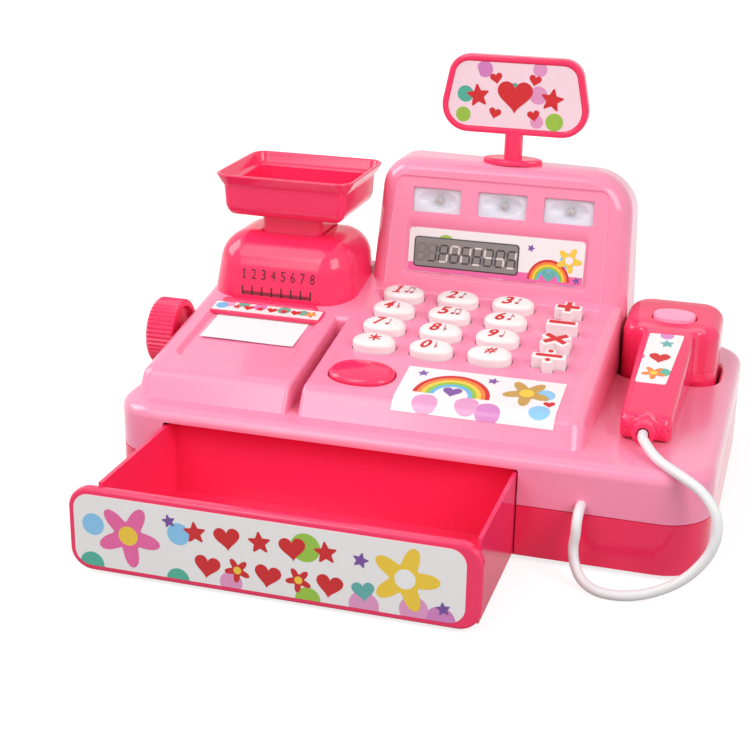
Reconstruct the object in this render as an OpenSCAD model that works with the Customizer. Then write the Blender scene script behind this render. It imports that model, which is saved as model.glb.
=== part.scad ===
// Toy cash register with a cash drawer, scale, receipt printer, keypad, display tower and hand scanner.
// X runs to the right, the front faces -Y, Z is up, and the origin is the middle of the underside.

/* [Case] */
// Width of the case
case_w = 310; // [300:1:330]
// Depth of the case
case_d = 208; // [204:1:220]
// Height of the deck above the table
case_h = 55; // [54:0.5:60]
// Radius of the case's corners, seen from above
case_corner_r = 24; // [16:1:26]
// Radius of the deck's edge
case_edge_r = 6; // [3:0.5:8]
// Radius of the lower case's bottom edge
case_foot_r = 3; // [1:0.5:4]
// Height of the joint between the lower and the upper case
split_h = 29.5; // [28:0.5:31]
// Wall of the moulded shells
wall = 2.4; // [2:0.1:2.6]

/* [Console] */
// From the case's left side to the printer block
console_gap = 8; // [7:0.5:10]
// From the case's front to the foot of the console's nose
console_setback = 15.5; // [12:0.5:18]
// How far the nose leans back
nose_run = 8.3; // [6:0.1:10]
// How far the nose rises above the deck
nose_rise = 13.3; // [11:0.1:16]
// Radius at the top of the nose
nose_r = 9; // [5:0.5:12]
// Slope of the console's top, in degrees
slope = 10; // [9:0.5:12]
// Width of the printer block
printer_w = 84; // [82:0.5:88]
// Width of the card slot
slot_w = 6.5; // [5.5:0.5:8]
// Length of the card slot
slot_len = 84.5; // [60:0.5:90]
// Width of the keypad block
keypad_w = 146; // [140:0.5:148]

/* [Drawer] */
// From the case's left side to the drawer's opening
drawer_gap = 30.5; // [28:0.5:34]
// Width of the drawer's opening
drawer_open_w = 187; // [180:0.5:188]
// Top of the drawer's opening above the table
drawer_open_top = 48.5; // [46:0.5:49]
// Depth of the tray, behind its front panel
tray_d = 86.5; // [82:0.5:95]
// How far the drawer slides in
drawer_travel = 73.5; // [60:0.5:76]
// Wall of the tray
tray_wall = 2; // [1.6:0.1:2.4]
// Width of the front panel
panel_w = 202; // [198:0.5:206]
// Height of the front panel
panel_h = 43; // [40:0.5:44]
// Thickness of the front panel
panel_t = 5; // [4:0.5:6]
// Radius of the front panel's corners
panel_r = 11; // [6:0.5:14]
// Running clearance round the tray
tray_gap = 0.6; // [0.4:0.1:0.8]

/* [Display tower] */
// From the case's front to the tower's foot
tower_setback = 147.3; // [146:0.1:150]
// Height of the tower above the deck
tower_h = 105; // [100:1:115]
// Depth of the tower at its foot
tower_d = 57; // [54:0.5:57.5]
// How far the tower's face leans back, in degrees
tower_lean = 10; // [6:0.5:12]
// Radius of the tower's upper corners
tower_corner_r = 20; // [12:1:24]
// Radius of the tower's front edges
tower_front_r = 12; // [8:1:18]
// Radius of the tower's top edge at the front
tower_top_r = 5; // [3:0.5:8]
// Radius of the tower's top edge at the back
tower_back_r = 20; // [8:1:22]
// Depth of the tower's rear cover
cover_d = 9; // [6:0.5:12]

/* [Display] */
// Width of a flash window
window_w = 28; // [24:0.5:30]
// Height of a flash window
window_h = 13.8; // [12:0.2:15]
// Spacing of the flash windows
window_pitch = 37.9; // [36:0.1:39]
// Height of the flash windows' middle on the face
window_up = 48.9; // [48:0.1:51]
// Width of the LCD
lcd_w = 61.3; // [56:0.1:64]
// Height of the LCD
lcd_h = 17.6; // [15:0.1:19]
// Height of the LCD's middle on the face
lcd_up = 19.4; // [18:0.1:21]
// From the middle of the tower to the LCD's middle, to the left
lcd_shift = 16.9; // [14:0.1:17.5]
// Width of the recessed bezel
bezel_w = 105.3; // [104:0.1:110]
// Height of the recessed bezel
bezel_h = 31.5; // [30:0.5:33]
// Height of the bezel's middle on the face
bezel_up = 20.8; // [20:0.1:22]
// Depth of the bezel
bezel_depth = 1.2; // [0.9:0.1:1.4]
// Thickness of the printed labels
label_t = 0.3; // [0.2:0.05:0.4]

/* [Keys] */
// Width of a number key
key_w = 23.5; // [20:0.5:25]
// Depth of a number key
key_d = 14.5; // [12:0.5:15.5]
// Height of a number key above the console
key_h = 5.5; // [4:0.5:7]
// Spacing of the key columns
key_pitch_x = 31.6; // [30:0.1:32]
// Spacing of the key rows
key_pitch_y = 19.6; // [19:0.1:20]
// From the keypad's left side to the middle column
key_col = 55.9; // [55:0.1:57]
// From the nose up the slope to the lowest key row
key_row = 48.7; // [48:0.1:49.5]
// How far a key presses in
key_travel = 2; // [1.5:0.1:2.2]
// Clearance round a key
key_gap = 0.4; // [0.3:0.05:0.5]
// Lip that keeps a key in the case
key_lip = 1.2; // [0.8:0.1:1.4]
// Length of a sign key's bars
sign_key_w = 15; // [13:0.5:16]
// Width of a sign key's bars
sign_key_bar = 5.5; // [4.5:0.25:6]
// From the keypad's left side to the sign keys
sign_key_col = 118.8; // [117:0.1:120]
// From the nose up the slope to the lowest sign key
sign_key_row = 49.9; // [48:0.1:51]
// Spacing of the sign keys
sign_key_pitch = 18.6; // [18.4:0.1:19]
// Width of the large oval key
big_key_w = 35; // [30:0.5:36]
// Depth of the large oval key
big_key_d = 23.5; // [20:0.5:24]
// From the keypad's left side to the large oval key
big_key_col = 26.5; // [26:0.5:28]
// From the nose up the slope to the large oval key
big_key_row = 19.2; // [19:0.1:21]

/* [Printer] */
// Width of the paper recess
recess_w = 60; // [57:0.5:62]
// Length of the paper recess
recess_len = 53; // [50:0.5:54]
// From the nose up the slope to the paper recess
recess_up = 19; // [17:0.5:20]
// Depth of the paper recess
recess_depth = 2; // [1.5:0.1:2.4]
// Width of the paper
paper_w = 54; // [50:0.5:55.5]
// Length of paper that shows
paper_len = 31; // [24:0.5:36]
// Width of the tear bar
bar_w = 65; // [64:0.5:68]
// Length of the tear bar up the slope
bar_len = 12.4; // [11:0.1:13]
// Height of the tear bar above the slope
bar_h = 1; // [0.75:0.25:1.5]
// Radius of the paper knob
knob_r = 19; // [16:0.5:20]
// Width of the paper knob
knob_w = 16; // [12:0.5:18]
// Radius of the paper shaft
shaft_r = 2.5; // [2:0.1:3]
// From the case's front to the paper shaft
shaft_setback = 89; // [87:0.5:91]
// Height of the paper shaft above the deck
shaft_up = 11; // [10:0.5:11.5]
// Radius of the paper roll
roll_r = 5.5; // [4.5:0.25:6]

/* [Scale] */
// Width of the scale's housing at its foot
dome_w = 86.5; // [84:0.5:88]
// Depth of the scale's housing
dome_d = 76; // [72:0.5:77]
// From the case's front to the scale's housing
dome_setback = 107; // [105:0.5:108]
// Height of the scale's housing above the deck
dome_h = 64; // [62:0.5:66]
// Radius of the housing's upper edges
dome_r = 16; // [10:1:18]
// Width of the plunger under the pan
plunger_w = 36; // [32:0.5:38]
// Height of the plunger above the housing
plunger_up = 10; // [8:0.5:14]
// Width of the pan's rim
pan_w = 81; // [76:0.5:84]
// Depth of the pan's rim
pan_d = 70; // [66:0.5:72]
// Height of the pan
pan_h = 25; // [20:0.5:28]

/* [Sign] */
// Width of the sign at its bottom edge
sign_w = 90; // [80:0.5:92]
// Width of the sign at its top edge
sign_top_w = 72.5; // [64:0.5:76]
// Height of the sign
sign_h = 43.5; // [38:0.5:46]
// Thickness of the sign
sign_t = 7; // [5:0.5:8]
// Height of the post below the sign
post_h = 16.5; // [12:0.5:20]
// Radius of the post
post_r = 5.25; // [4:0.25:6]

/* [Scanner] */
// From the case's right side to the scanner's middle line
scanner_gap = 37.5; // [36.5:0.5:38]
// From the case's front to the scanner's tail
scanner_setback = 38; // [36:0.5:40]
// Width of the scanner's handle
handle_w = 25.5; // [24:0.5:28]
// Height of the handle at its tail
handle_h = 13; // [12.5:0.5:15]
// Width of the scanner's head
head_w = 52.5; // [50:0.5:53]
// Depth of the scanner's head
head_d = 46; // [44:0.5:48]
// From the tail to the head
head_setback = 90.5; // [88:0.5:94]
// Height of the head above the deck
head_h = 36; // [34:0.5:38]
// How deep the head stands in its pocket
pocket_depth = 15; // [12:0.5:16]
// Diameter of the cord
cord_d = 5; // [4.5:0.1:5.5]

/* [Hidden] */
$fn = 48;
NUMBERS = ["1", "2", "3", "4", "5", "6", "7", "8", "9", "star", "0", "hash"];
SIGNS = ["plus", "minus", "times", "divide"];
FIXED = [
    "lower_case", "upper_case", "display_housing", "display_back_cover", "drawer_tray", "drawer_front",
    "drawer_label", "scale_housing", "scale_pan", "scale_plunger", "scale_spring", "tear_bar",
    "tear_bar_label", "receipt_paper", "paper_roll", "paper_shaft", "paper_knob", "shaft_bracket",
    "keypad_membrane", "keypad_label", "main_board", "flash_windows", "flash_reflector", "flash_lamps",
    "lcd_module", "display_label", "sign_frame", "sign_panel", "scanner_top", "scanner_bottom",
    "scanner_button", "scanner_window", "scanner_gland", "scanner_label", "cord", "cord_bush",
    "battery_cover", "batteries", "battery_contacts", "power_switch", "loudspeaker", "case_screws",
    "key_large"
];

LIGHT_PINK = [1.0, 0.62, 0.74];
HOT_PINK = [1.0, 0.28, 0.45];
DEEP_PINK = [0.93, 0.21, 0.38];
WHITE = [0.96, 0.96, 0.96];

// Clearance between pieces that slide past each other, and overlap that joins shapes within one piece
gap = 0.3;
bite = 1;
run_fit = 0.05;

case_x = case_w / 2;
tower_margin = 3.7;
// The case reaches at least past the tower's back
case_y = max(case_d, tower_setback + tower_d + tower_margin) / 2;
front_y = -case_y;
back_y = case_y;
deck_under = case_h - wall;

// Console: the foot of the nose, the bend above it, and the blocks from left to right
foot_y = front_y + console_setback;
bend_y = foot_y + nose_run;
bend_z = case_h + nose_rise;
tower_y = front_y + tower_setback;
tower_back = tower_y + tower_d;
shoulder_z = bend_z + (tower_y - bend_y) * tan(slope);
printer_x0 = -case_x + console_gap;
printer_x1 = printer_x0 + printer_w;
keypad_x0 = printer_x1 + slot_w;
keypad_x1 = keypad_x0 + keypad_w;
slot_end = foot_y + slot_len;
block_back = tower_back - tower_d / 4;

// Tower
tower_top = case_h + tower_h;
tower_mid = (keypad_x0 + keypad_x1) / 2;
tower_top_y = tower_y + (tower_top - shoulder_z) * tan(tower_lean);
cover_y = tower_back - cover_d;
bezel_mid = tower_mid - 1.75;
lcd_x = bezel_mid - lcd_shift;
bezel_margin = 1.8;
label_h = bezel_h - 6;
reflector_d = 8;
lamp_r = 2.5;

// Drawer, drawn open
open_x0 = -case_x + drawer_gap;
open_x1 = open_x0 + drawer_open_w;
tray_x0 = open_x0 + tray_gap;
tray_x1 = open_x1 - tray_gap;
tray_z0 = wall + 1.6;
tray_top = drawer_open_top - 2;
panel_back = front_y - tray_gap - drawer_travel;
panel_front = panel_back - panel_t;
tray_back = panel_back + tray_d;
panel_z0 = 2;
panel_x0 = open_x0 - 13.5;
panel_x1 = panel_x0 + panel_w;
label_inset = 2;
label_right = 6.5;
tab_w = 12;
tab_t = 1.5;
rail_t = 2;
rail_h = 18;
strip_w = 6;

// Keys: heights are measured square to the console's top
lip_t = 1.5;
lip_top = -wall - gap;
lip_low = lip_top - lip_t;
bump_top = lip_low - key_travel - gap;
pad_top = bump_top - 2.4;
board_top = pad_top - 1.5;
board_t = 1.6;
board_u0 = 2;
board_x0 = keypad_x0 + 8;
board_w = keypad_w - 13;
board_u1 = (tower_y - wall - bend_y) / cos(slope) - 3;
post_u0 = board_u0 + 4;
post_u1 = board_u1 - 2.5;
post_x0 = keypad_x0 + 12.5;
post_x1 = keypad_x1 - 8;
board_post_r = 2.5;
key_mid = keypad_x0 + key_col;
sign_key_x = keypad_x0 + sign_key_col;
sign_key_h = key_h + 0.5;
big_key_x = keypad_x0 + big_key_col;
big_key_h = 4;
pad_label_col = 48.5;
pad_label_w = 83;
pad_label_foot = 7.6;
pad_label_len = 33;

// Printer
recess_mid = printer_x0 + printer_w / 2 + 2;
bar_u = recess_up + recess_len - 4;
paper_slot_w = 1.6;
shaft_y = front_y + shaft_setback;
shaft_z = case_h + shaft_up;
knob_x1 = printer_x0 - 3;
knob_x0 = knob_x1 - knob_w;
notch_r = knob_r + 2;
shaft_boss_r = 6;
flutes = 48;
flute_depth = 0.8;
knob_face = 3;
bracket_w = 12;
bracket_t = 6;
roll_x0 = recess_mid - paper_w / 2;
roll_x1 = recess_mid + paper_w / 2;

// Scale
dome_x0 = printer_x0 + 2;
dome_x1 = dome_x0 + dome_w;
dome_y0 = front_y + dome_setback;
dome_y1 = dome_y0 + dome_d;
dome_top = case_h + dome_h;
dome_lean = 5;
dome_foot = case_h + 27;
dome_draw_l = 6;
dome_draw_r = 3;
pan_x = (dome_x0 + dome_draw_l + dome_x1 - dome_draw_r) / 2 + 0.6;
pan_y = (dome_y0 + dome_y1) / 2;
pan_z = dome_top + plunger_up;
plunger_lip = dome_top - wall - gap;
seat_z = shoulder_z + 4;
spring_top = dome_top + 3;
spring_r = 7;
spring_wire = 1.6;
spring_turns = 5;
sheet_t = 0.2;

// Sign
sign_x = tower_mid + 1.75;
sign_y = tower_top_y + 12.5;
sign_z = tower_top + post_h;
sign_border = 3.5;
sign_recess = 1;
flange_w = 34;
flange_d = 17;
flange_t = 3;

// Scanner
scanner_x = case_x - scanner_gap;
tail_y = front_y + scanner_setback;
head_y0 = tail_y + head_setback;
head_y1 = head_y0 + head_d;
head_x = scanner_x + 0.25;
head_top = case_h + head_h;
head_z0 = case_h - pocket_depth;
head_r = 13;
head_fall = 5;
head_tilt = atan(head_fall / head_d);
scanner_z0 = case_h + gap;
scanner_wall = 2;
scanner_split = scanner_z0 + 7;
pocket_gap = 1.6;
pocket_z = head_z0 - 3;
gland_z = case_h + 7.5;
gland_len = 7;
gland_r = 5.5;
gland_plug_r = 4;
lens_w = 30;
lens_d = 20;
button_w = 23;
button_d = 14;
button_h = 2.5;
button_lip_gap = 1.4;
button_lip = -scanner_wall - button_lip_gap;
button_y = head_y0 + 16.5;
button_z = head_top - (head_y1 - button_y) * tan(head_tilt);
handle_label_w = 18.8;
handle_label_u0 = 36.3;
handle_label_u1 = 84;
handle_label_r = 1.5;

// Cord route, from the scanner's gland to the case's front
bush_x = case_x - 61;
bush_z = 34.5;
bush_r = cord_d / 2 + 1.5;
CORD = [
    [scanner_x, tail_y - gland_len, gland_z], [scanner_x, -78, gland_z], [118.6, -83, 61.8],
    [122, -88.5, 60.2], [127.3, -94, 58.8], [134.2, -100, 58], [142, -106, 56.8], [150, -112, 53.5],
    [156, -116.5, 48.5], [159, -119, 42], [159, -121, 33.5], [155, -122.5, 23.5], [146, -124.5, 13],
    [133, -126.5, 5.5], [120, -129, 2.8], [108, -128.5, 2.8], [99.5, -124, 5.2], [95, -119.5, 11],
    [93.5, -117, 18], [94, -116.5, 24.5], [94, -115.7, 28.3], [94, -113.6, 31.6], [94, -110.3, 33.7],
    [bush_x, -106.5, bush_z], [bush_x, front_y, bush_z]
];

// Power and fasteners
cell_r = 7.1;
cell_len = 50;
cells = 3;
bay_x0 = 45 - case_x;
bay_x1 = bay_x0 + cell_len + 10;
bay_y0 = back_y - 79;
bay_y1 = bay_y0 + cells * (2 * cell_r + 2.2);
bay_top = 20;
bay_wall = 4;
door_ledge = 2.2;
door_t = 2.2;
door_gap = 0.2;
contact_w = 10;
contact_h = 12;
contact_r = 2.4;
speaker_x = case_x - 47;
speaker_y = front_y + 52;
speaker_r = 25;
speaker_rim = 2;
speaker_d = 17;
rim_t = 3;
basket_d = 9;
basket_t = 1;
magnet_r = 14;
cone_sink = 0.5;
grille_r = 2;
grille_pitch = 10;
switch_x = case_x - 55;
switch_z = 15;
switch_w = 6;
switch_h = 4.6;
switch_travel = 5;
screw_r = 1.4;
screw_head_r = 2.8;
screw_head_t = 2.2;
screw_sink = 6;
screw_depth = 12;
screw_post_r = 4.6;
screw_inset = 19;
SCREWS = [
    [screw_inset - case_x, front_y + screw_inset], [screw_inset - case_x, back_y - 16],
    [-30, back_y - 12], [76, back_y - 12], [case_x - screw_inset, front_y + screw_inset]
];

// Outlines with rounds
function heading(a, b) = atan2(b[1] - a[1], b[0] - a[0]);
function turn(a1, a2) = let (t = a2 - a1) t > 180 ? t - 360 : t < -180 ? t + 360 : t;
function round_at(p, a1, a2, r, n) =
    let (t = turn(a1, a2), s = sign(t), along = [cos(a1), sin(a1)], left = [-sin(a1), cos(a1)],
         c = p - r * tan(abs(t) / 2) * along + s * r * left)
    [for (i = [0:n]) c + s * r * [sin(a1 + t * i / n), -cos(a1 + t * i / n)]];
// A closed outline, walked anticlockwise, rounded at its corners and drawn in by d
function outline(pts, radii, d = 0, n = 8) =
    let (m = len(pts))
    [for (i = [0:m - 1])
        let (a1 = heading(pts[(i + m - 1) % m], pts[i]), a2 = heading(pts[i], pts[(i + 1) % m]),
             n1 = [-sin(a1), cos(a1)], n2 = [-sin(a2), cos(a2)],
             q = pts[i] + d * (n1 + n2) / (1 + n1 * n2), r = radii[i] - d)
        each r > 0.2 ? round_at(q, a1, a2, r, n) : [q]];
function box(x0, x1, y0, y1) = [[x0, y0], [x1, y0], [x1, y1], [x0, y1]];

// Tube swept along points, with its rings carried along without twist
function unit(v) = v / norm(v);
function tangent(p, i) = unit(p[min(i + 1, len(p) - 1)] - p[max(i - 1, 0)]);
function square_to(v, t) = unit(v - (v * t) * t);
function sides(p, start) =
    [for (i = 0, n = square_to(start, tangent(p, 0)); i < len(p); i = i + 1,
          n = i < len(p) ? square_to(n, tangent(p, i)) : n) n];
function ring(p, t, side, r, n) =
    [for (k = [0:n - 1]) p + r * (cos(360 * k / n) * side + sin(360 * k / n) * cross(t, side))];
function pair(a, b, n) = [[a, a + n, b], [b, a + n, b + n]];
module tube(p, r, start, n) {
    m = len(p);
    across = sides(p, start);
    rings = [for (i = [0:m - 1]) each ring(p[i], tangent(p, i), across[i], r, n)];
    skin = [for (i = [0:m - 2], k = [0:n - 1]) each pair(i * n + k, i * n + (k + 1) % n, n)];
    first = [for (k = [0:n - 1]) k];
    last = [for (k = [0:n - 1]) m * n - 1 - k];
    polyhedron(rings, concat(skin, [first], [last]));
}

// Extrusions between two planes
module along_x(x0, x1) { translate([x0, 0, 0]) rotate([90, 0, 90]) linear_extrude(x1 - x0) children(); }
module along_y(y0, y1) { translate([0, y1, 0]) rotate([90, 0, 0]) linear_extrude(y1 - y0) children(); }
module along_z(z0, z1) { translate([0, 0, z0]) linear_extrude(z1 - z0) children(); }
module plate(x0, x1, y0, y1, r, d = 0) { polygon(outline(box(x0, x1, y0, y1), [r, r, r, r], d)); }
module block(x0, x1, y0, y1, z0, z1) { translate([x0, y0, z0]) cube([x1 - x0, y1 - y0, z1 - z0]); }
module rod_x(x0, x1, y, z, r) { translate([x0, y, z]) rotate([0, 90, 0]) cylinder(h = x1 - x0, r = r); }
module rod_y(x, y0, y1, z, r) { translate([x, y1, z]) rotate([90, 0, 0]) cylinder(h = y1 - y0, r = r); }
module rod_z(x, y, z0, z1, r) { translate([x, y, z0]) cylinder(h = z1 - z0, r = r); }
// Oval with straight long sides, w across and d deep
module oval(w, d) {
    square([w - d, d], center = true);
    for (s = [-1, 1]) translate([s * (w - d) / 2, 0]) circle(r = d / 2);
}

// Frame on the console's top: y runs up the slope from the nose and z stands square to it
module on_console(x = 0, u = 0) {
    translate([x, bend_y, bend_z]) rotate([slope, 0, 0]) translate([0, u, 0]) children();
}
// Frame on the tower's face: y runs up the face from its foot and z points at the viewer
module on_face(x = 0, v = 0) {
    translate([x, tower_y, shoulder_z]) rotate([90 - tower_lean, 0, 0]) translate([0, v, 0]) children();
}

// Solid forms, each drawn in by d for the space inside it
module case_form(z0, z1, foot_r, edge_r, d = 0) {
    radii = [foot_r, foot_r, edge_r, edge_r];
    intersection() {
        along_z(z0, z1) plate(-case_x, case_x, front_y, back_y, case_corner_r, d);
        along_x(-case_x, case_x) polygon(outline(box(front_y, back_y, z0, z1), radii, d));
        along_y(front_y, back_y) polygon(outline(box(-case_x, case_x, z0, z1), radii, d));
    }
}
function nose_at(z) = foot_y + (z - case_h) * nose_run / nose_rise;
module keypad_form(low, d = 0) {
    pts = [[nose_at(low), low], [tower_y, low], [tower_y, shoulder_z], [bend_y, bend_z]];
    along_x(keypad_x0 + d, keypad_x1 - d) polygon(outline(pts, [0, 0, 0, nose_r], d));
}
module printer_form(low, d = 0) {
    pts = [[nose_at(low), low], [block_back, low], [block_back, shoulder_z], [tower_y, shoulder_z],
        [bend_y, bend_z]];
    along_x(printer_x0 + d, printer_x1 - d) polygon(outline(pts, [0, 0, 10, 0, nose_r], d));
}
module bridge_form(low) {
    slot_top = bend_z + (slot_end - bend_y) * tan(slope);
    pts = [[slot_end, low], [tower_y, low], [tower_y, shoulder_z], [slot_end, slot_top]];
    along_x(printer_x1 - bite, keypad_x0 + bite) polygon(pts);
}
module tower_form(d = 0) {
    low = case_h - 4 * d;
    side = [[tower_y, low], [tower_back, low], [tower_back, tower_top], [tower_top_y, tower_top],
        [tower_y, shoulder_z]];
    face = box(keypad_x0, keypad_x1, low, tower_top);
    plan = box(keypad_x0, keypad_x1, 0, 2 * tower_d);
    intersection() {
        along_x(keypad_x0, keypad_x1) polygon(outline(side, [0, 0, tower_back_r, tower_top_r, 0], d));
        along_y(tower_y - 1, tower_back + 1)
            polygon(outline(face, [0, 0, tower_corner_r, tower_corner_r], d));
        translate([0, tower_y, shoulder_z]) rotate([-tower_lean, 0, 0]) along_z(-tower_h, tower_h)
            polygon(outline(plan, [tower_front_r, tower_front_r, 0, 0], d));
    }
}
module dome_form(d = 0) {
    low = case_h - 4 * d;
    side = [[dome_y0, low], [dome_y1, low], [dome_y1, dome_top], [dome_y0 + dome_lean, dome_top]];
    share = (low - dome_foot) / (dome_top - dome_foot);
    face = [[dome_x0 + share * dome_draw_l, low], [dome_x1 - share * dome_draw_r, low],
        [dome_x1 - dome_draw_r, dome_top], [dome_x0 + dome_draw_l, dome_top]];
    intersection() {
        along_x(dome_x0 - 1, dome_x1 + 1) polygon(outline(side, [0, 0, dome_r - 2, dome_r - 2], d, 7));
        along_y(dome_y0 - 1, dome_y1 + 1) polygon(outline(face, [0, 0, dome_r, dome_r], d));
        along_z(low - 1, dome_top + 1) plate(dome_x0, dome_x1, dome_y0, dome_y1, dome_r + 2.5, d);
    }
}

// Case
module screw_posts(z0, z1, r) { for (s = SCREWS) rod_z(s[0], s[1], z0, z1, r); }
module pocket_form(d) {
    along_z(pocket_z - d, case_h + bite)
        plate(head_x - head_w / 2, head_x + head_w / 2, head_y0, head_y1, head_r, -pocket_gap - d);
}
module knob_notch(d) {
    reach = notch_r + d;
    block(-case_x - bite, printer_x0 + d, shaft_y - reach, shaft_y + reach, shaft_z - reach, case_h + bite);
}
module recess_form(d) {
    on_console(recess_mid, recess_up) translate([-recess_w / 2 - d, -d, -recess_depth - d])
        cube([recess_w + 2 * d, recess_len + 2 * d, recess_depth + d + bite]);
}
module case_cavity() {
    difference() {
        union() {
            case_form(split_h - case_corner_r, case_h, 0, case_edge_r, wall);
            keypad_form(case_h - 4 * wall, wall);
            printer_form(case_h - 4 * wall, wall);
        }
        pocket_form(wall);
        knob_notch(wall);
        recess_form(wall);
        screw_posts(split_h, case_h, screw_post_r - 1);
        rod_x(printer_x0, printer_x0 + shaft_boss_r, shaft_y, shaft_z, shaft_boss_r);
        for (x = [post_x0, post_x1], u = [post_u0, post_u1])
            on_console(x, u) along_z(board_top, 0) circle(r = board_post_r);
    }
}
// Holes that the keys come through
module key_holes() {
    low = -wall - bite;
    for (i = [0:len(NUMBERS) - 1])
        on_number_key(i) along_z(low, bite) oval(key_w + 2 * key_gap, key_d + 2 * key_gap);
    for (i = [0:len(SIGNS) - 1])
        on_sign_key(i) along_z(low, bite) sign_shape(i, key_gap);
    on_console(big_key_x, big_key_row) along_z(low, bite)
        oval(big_key_w + 2 * key_gap, big_key_d + 2 * key_gap);
}
module paper_slot() {
    on_console(recess_mid, bar_u + 1) translate([-paper_w / 2 - 1, 0, -recess_depth - wall - bite])
        cube([paper_w + 2, paper_slot_w, wall + 2 * bite]);
}
module upper_case() {
    color(LIGHT_PINK) difference() {
        union() {
            difference() {
                union() {
                    case_form(split_h, case_h, 0, case_edge_r);
                    keypad_form(deck_under);
                    printer_form(deck_under);
                    bridge_form(deck_under);
                }
                case_cavity();
            }
            rod_z(pan_x, pan_y, shoulder_z - wall, seat_z, spring_r + 3);
        }
        pocket_form(0);
        knob_notch(0);
        recess_form(0);
        drawer_mouth(split_h - bite, drawer_open_top);
        rod_y(bush_x, front_y - bite, front_y + wall + bite, bush_z, bush_r);
        rod_x(printer_x0 - bite, printer_x0 + shaft_boss_r + bite, shaft_y, shaft_z, shaft_r + run_fit);
        screw_posts(split_h - bite, split_h + screw_depth, screw_r + run_fit);
        key_holes();
        paper_slot();
    }
}
module drawer_mouth(z0, z1) { block(open_x0, open_x1, front_y - bite, front_y + wall + bite, z0, z1); }
// Rails beside the drawer and strips that it runs on
module drawer_rails() {
    end = tray_back + drawer_travel;
    span = tray_x1 - tray_x0;
    for (x = [open_x0 - rail_t, open_x1])
        block(x, x + rail_t, front_y, end, 0, rail_h);
    for (x = [tray_x0 + 0.2 * span, tray_x0 + 0.8 * span])
        block(x - strip_w / 2, x + strip_w / 2, front_y, end, 0, tray_z0 - gap);
}
// Space of the battery bay, let out by d
module bay(d, z0, z1) { block(bay_x0 - d, bay_x1 + d, bay_y0 - d, bay_y1 + d, z0, z1); }
module speaker_ring() {
    difference() {
        rod_z(speaker_x, speaker_y, 0, wall + 5, speaker_r + 2.5);
        rod_z(speaker_x, speaker_y, -bite, wall + 6, speaker_r + gap);
    }
}
module speaker_holes() {
    spots = concat([[0, 0]], [for (a = [0:60:300]) grille_pitch * [cos(a), sin(a)]]);
    for (s = spots) rod_z(speaker_x + s[0], speaker_y + s[1], -bite, wall + bite, grille_r);
}
module switch_slot() {
    half = switch_w / 2 + 0.5;
    high = switch_h / 2 + gap;
    block(switch_x - half, switch_x + half + switch_travel, back_y - wall - bite, back_y + bite,
        switch_z - high, switch_z + high);
}
module lower_case() {
    color(DEEP_PINK) difference() {
        case_form(0, split_h, case_foot_r, 0);
        difference() {
            case_form(0, split_h + case_corner_r, case_foot_r, 0, wall);
            screw_posts(0, split_h, screw_post_r);
            drawer_rails();
            bay(bay_wall, 0, bay_top + wall);
            speaker_ring();
        }
        drawer_mouth(tray_z0 - gap, split_h + bite);
        bay(0, -bite, bay_top);
        bay(door_ledge, -bite, door_t);
        screw_posts(-bite, screw_sink, screw_head_r + 0.6);
        screw_posts(0, split_h + bite, screw_r + 0.2);
        speaker_holes();
        switch_slot();
    }
}
module case_screws() {
    color("silver") for (s = SCREWS) {
        rod_z(s[0], s[1], screw_sink - screw_head_t, screw_sink, screw_head_r);
        rod_z(s[0], s[1], screw_sink - bite / 2, split_h + screw_depth - 3, screw_r);
    }
}

// Cash drawer
module drawer_tray() {
    w = tray_wall;
    stop_z = drawer_open_top + gap;
    color(HOT_PINK) {
        difference() {
            block(tray_x0, tray_x1, panel_back, tray_back, tray_z0, tray_top);
            block(tray_x0 + w, tray_x1 - w, panel_back - bite, tray_back - w, tray_z0 + w, tray_top + bite);
        }
        for (f = [0.15, 0.85]) translate([tray_x0 + f * (tray_x1 - tray_x0) - tab_w / 2, 0, 0]) {
            block(0, tab_w, tray_back - w, tray_back, tray_top - bite, stop_z + tab_t);
            block(0, tab_w, front_y + wall + gap, tray_back, stop_z, stop_z + tab_t);
        }
    }
}
module drawer_front() {
    color(HOT_PINK) along_y(panel_front, panel_back)
        plate(panel_x0, panel_x1, panel_z0, panel_z0 + panel_h, panel_r);
}
module drawer_label() {
    low = panel_z0 + label_inset;
    high = panel_z0 + panel_h - label_inset;
    color(WHITE) along_y(panel_front - label_t, panel_front)
        plate(panel_x0 + label_inset, panel_x1 - label_right, low, high, panel_r - label_inset);
}

// Display tower
module display_housing() {
    color(LIGHT_PINK) difference() {
        intersection() {
            tower_form();
            block(-case_x, case_x, front_y, cover_y, 0, 2 * tower_top);
        }
        tower_form(wall);
        on_face(bezel_mid, bezel_up) along_z(-bezel_depth, 2 * bite)
            plate(-bezel_w / 2, bezel_w / 2, -bezel_h / 2, bezel_h / 2, 2);
        on_face(lcd_x, lcd_up) along_z(-wall - bite, bite)
            square([lcd_w + 2 * door_gap, lcd_h + 2 * door_gap], center = true);
        on_windows() along_z(-wall - bite, bite) square([window_w, window_h], center = true);
        rod_z(sign_x, sign_y, tower_top - 2 * wall, tower_top + bite, post_r + run_fit);
    }
}
module display_back_cover() {
    color(LIGHT_PINK) difference() {
        intersection() {
            tower_form();
            block(-case_x, case_x, cover_y, back_y, 0, 2 * tower_top);
        }
        tower_form(wall);
    }
}
module on_windows() { for (i = [-1:1]) on_face(tower_mid + i * window_pitch, window_up) children(); }
module flash_windows() {
    color([0.9, 0.93, 0.97, 0.5]) on_windows() along_z(-wall, -0.6)
        square([window_w - 2 * door_gap, window_h - 2 * door_gap], center = true);
}
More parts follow.
